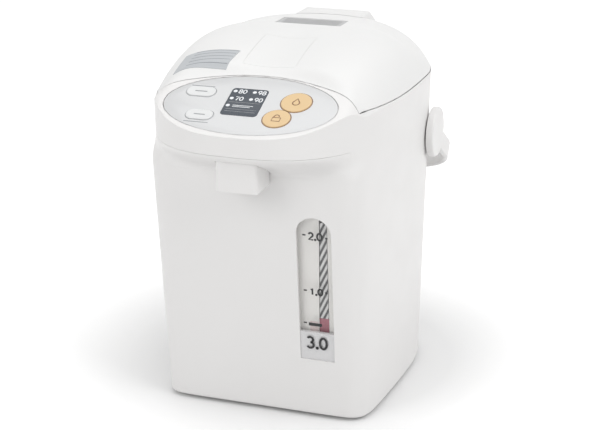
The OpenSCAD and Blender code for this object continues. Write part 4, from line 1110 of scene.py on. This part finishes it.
# %% Window, liner and block
WINDOW_FRONT, WINDOW_T = -0.3, 0.9
BLOCK_TOP = 77.2
window = plate_rings("gauge_glass", arch, [(WINDOW_FRONT - WINDOW_T, -HAIRLINE),
                                           (WINDOW_FRONT - 0.1, -HAIRLINE),
                                           (WINDOW_FRONT, -0.12)], ON_FRONT)
settle(window, "pot", "gauge_clear", "gauge_window")
block = prism("gauge_block", arch(-0.04), -4, WINDOW_FRONT - WINDOW_T - 0.02, ON_FRONT)
carve(block, prism("block_keep", box_plan(20, 40, 80, BLOCK_TOP), -9, 3, ON_FRONT), how="INTERSECT")
settle(block, "pot", "gauge_block")
# The liners wear the tray's pale finish, painted light for the dim recess
for liner_plan in ([(33.9, 61.4), (49.9, 61.4), (53.2, 182.6), (33.9, 182.6)],
                   [(58.9, 61.4), (66.1, 61.4), (66.1, 182.6), (59.5, 182.6)]):
    settle(prism("gauge_liner", liner_plan, -6.6, -6, ON_FRONT), "pot", "gauge_back")

# %% Gauge scale and strip
STRIP_Z = -7
STRIP_PLAN = [(50.8, 88), (58.3, 88), (58.8, 173.6), (53.2, 173.6)]
BAR_PITCH, BAR_HEIGHT, BAR_RISE = 8.8, 4.2, 23.0
settle(prism("strip_backing", STRIP_PLAN, STRIP_Z - 0.3, STRIP_Z, ON_FRONT), "pot", "strip_white")
for k in range(12):
    y = 68 + k * BAR_PITCH
    slant = [(50, y), (61, y + BAR_RISE), (61, y + BAR_RISE + BAR_HEIGHT), (50, y + BAR_HEIGHT)]
    dark = prism("strip_bar", slant, STRIP_Z + 0.02, STRIP_Z + 0.1, ON_FRONT)
    carve(dark, prism("bar_keep", STRIP_PLAN, STRIP_Z - 1, STRIP_Z + 1, ON_FRONT), how="INTERSECT")
    settle(dark, "pot", "strip_ink")
settle(prism("low_zone", box_plan(50.4, 74, 58.5, 87.9), STRIP_Z - 0.3, STRIP_Z + 0.05, ON_FRONT),
       "pot", "print_red")
settle(prism("low_zone_edge", box_plan(42.6, 74, 49.8, 85), -6, -5.95, ON_FRONT), "pot",
       "print_blush")

# %% Litre marks
PRINT_LOW, PRINT_HIGH = WINDOW_FRONT + 0.01, WINDOW_FRONT + 0.01 + 0.06
litres = number_lines("2.0", 45.9, 161.3, 3.7, 5.9) + number_lines("1.0", 45.4, 112.5, 3.6, 5.5)
ticks = [bar(x, x + 2.7, y) for x, y in ((40.8, 164.9), (40.2, 115.8), (39.2, 86.2))]
ticks += [bar(59.5, 61.5, 163.7), bar(58.0, 60.0, 115.4)]
for name, lines, half_w in (("litre_numbers", litres, 0.75), ("litre_ticks", ticks, 0.65),
                            ("low_mark", [bar(43.4, 54.6, 85.3)], 1.4),
                            ("size_number", number_lines("3.0", 41.4, 63.2, 5.7, 10.0), 0.95)):
    strokes(name, lines, half_w, "print_ink", PRINT_LOW, PRINT_HIGH, ON_FRONT)

# %% [markdown]
# ## Rating plate
# A grey plate lies on the lid's left shoulder. It is moulded with long slats, divided by fine dark
# ribs; a plain block closes their left end. The plate is left without print.

# %% Plate
PLATE_CORNERS = np.array([(-76.2, -116), (-33.2, -110), (-30.1, -85.6), (-74.2, -92.6)])
PLATE_LONG, PLATE_ACROSS, SLATS, BLOCK_SHARE = 60, 100, 5, 0.2


def plate_height(u, v):
    slat = 0.30 + 0.42 * np.mod(v * SLATS, 1.0)
    return np.where(u < BLOCK_SHARE, 0.5, np.where((v < 0.04) | (v > 0.96), 0.5, slat))


def on_plate(u, v):
    """Plan points (x, y) at shares u and v of the plate, and the dome's height there."""
    u, v = u[..., None], v[..., None]
    near, far = [PLATE_CORNERS[a] * (1 - u) + PLATE_CORNERS[b] * u for a, b in ((0, 1), (3, 2))]
    xy = near * (1 - v) + far * v
    return xy, surface_z(xy[..., 0].ravel(), xy[..., 1].ravel()).reshape(xy.shape[:-1])


u, v = np.meshgrid(np.linspace(0, 1, PLATE_LONG), np.linspace(0, 1, PLATE_ACROSS))
flat_xy, ground = on_plate(u, v)
top = np.dstack([flat_xy, ground + plate_height(u, v)]).reshape(-1, 3)
low = np.dstack([flat_xy, ground - 0.3]).reshape(-1, 3)
at = np.arange(PLATE_LONG * PLATE_ACROSS).reshape(PLATE_ACROSS, PLATE_LONG)
cells = np.stack([at[:-1, :-1], at[:-1, 1:], at[1:, 1:], at[1:, :-1]], axis=-1).reshape(-1, 4).tolist()
border = [int(k) for k in (*at[0], *at[1:, -1], *at[-1, -2::-1], *at[-2:0:-1, 0])]
count = len(top)
faces = cells + [[count + v for v in reversed(face)] for face in cells]
faces += [(b, a, count + a, count + b) for a, b in zip(border, border[1:] + border[:1])]
plate = new_piece("slatted_plate", np.concatenate([top, low]), faces)
settle(plate, "lid", "plate_grey", "lid_label")

# %% Ribs
RIB_SPAN, RIB_R, RIB_LIFT = np.linspace(0.21, 0.98, 40), 0.5, 0.42
for share in (0.17, 0.37, 0.57, 0.77, 0.96):
    flat_xy, ground = on_plate(RIB_SPAN, np.full(len(RIB_SPAN), share))
    rib = tube("plate_rib", np.column_stack([flat_xy, ground + RIB_LIFT]), RIB_R, closed=False, flat=0.6)
    settle(rib, "lid", "rib_grey")
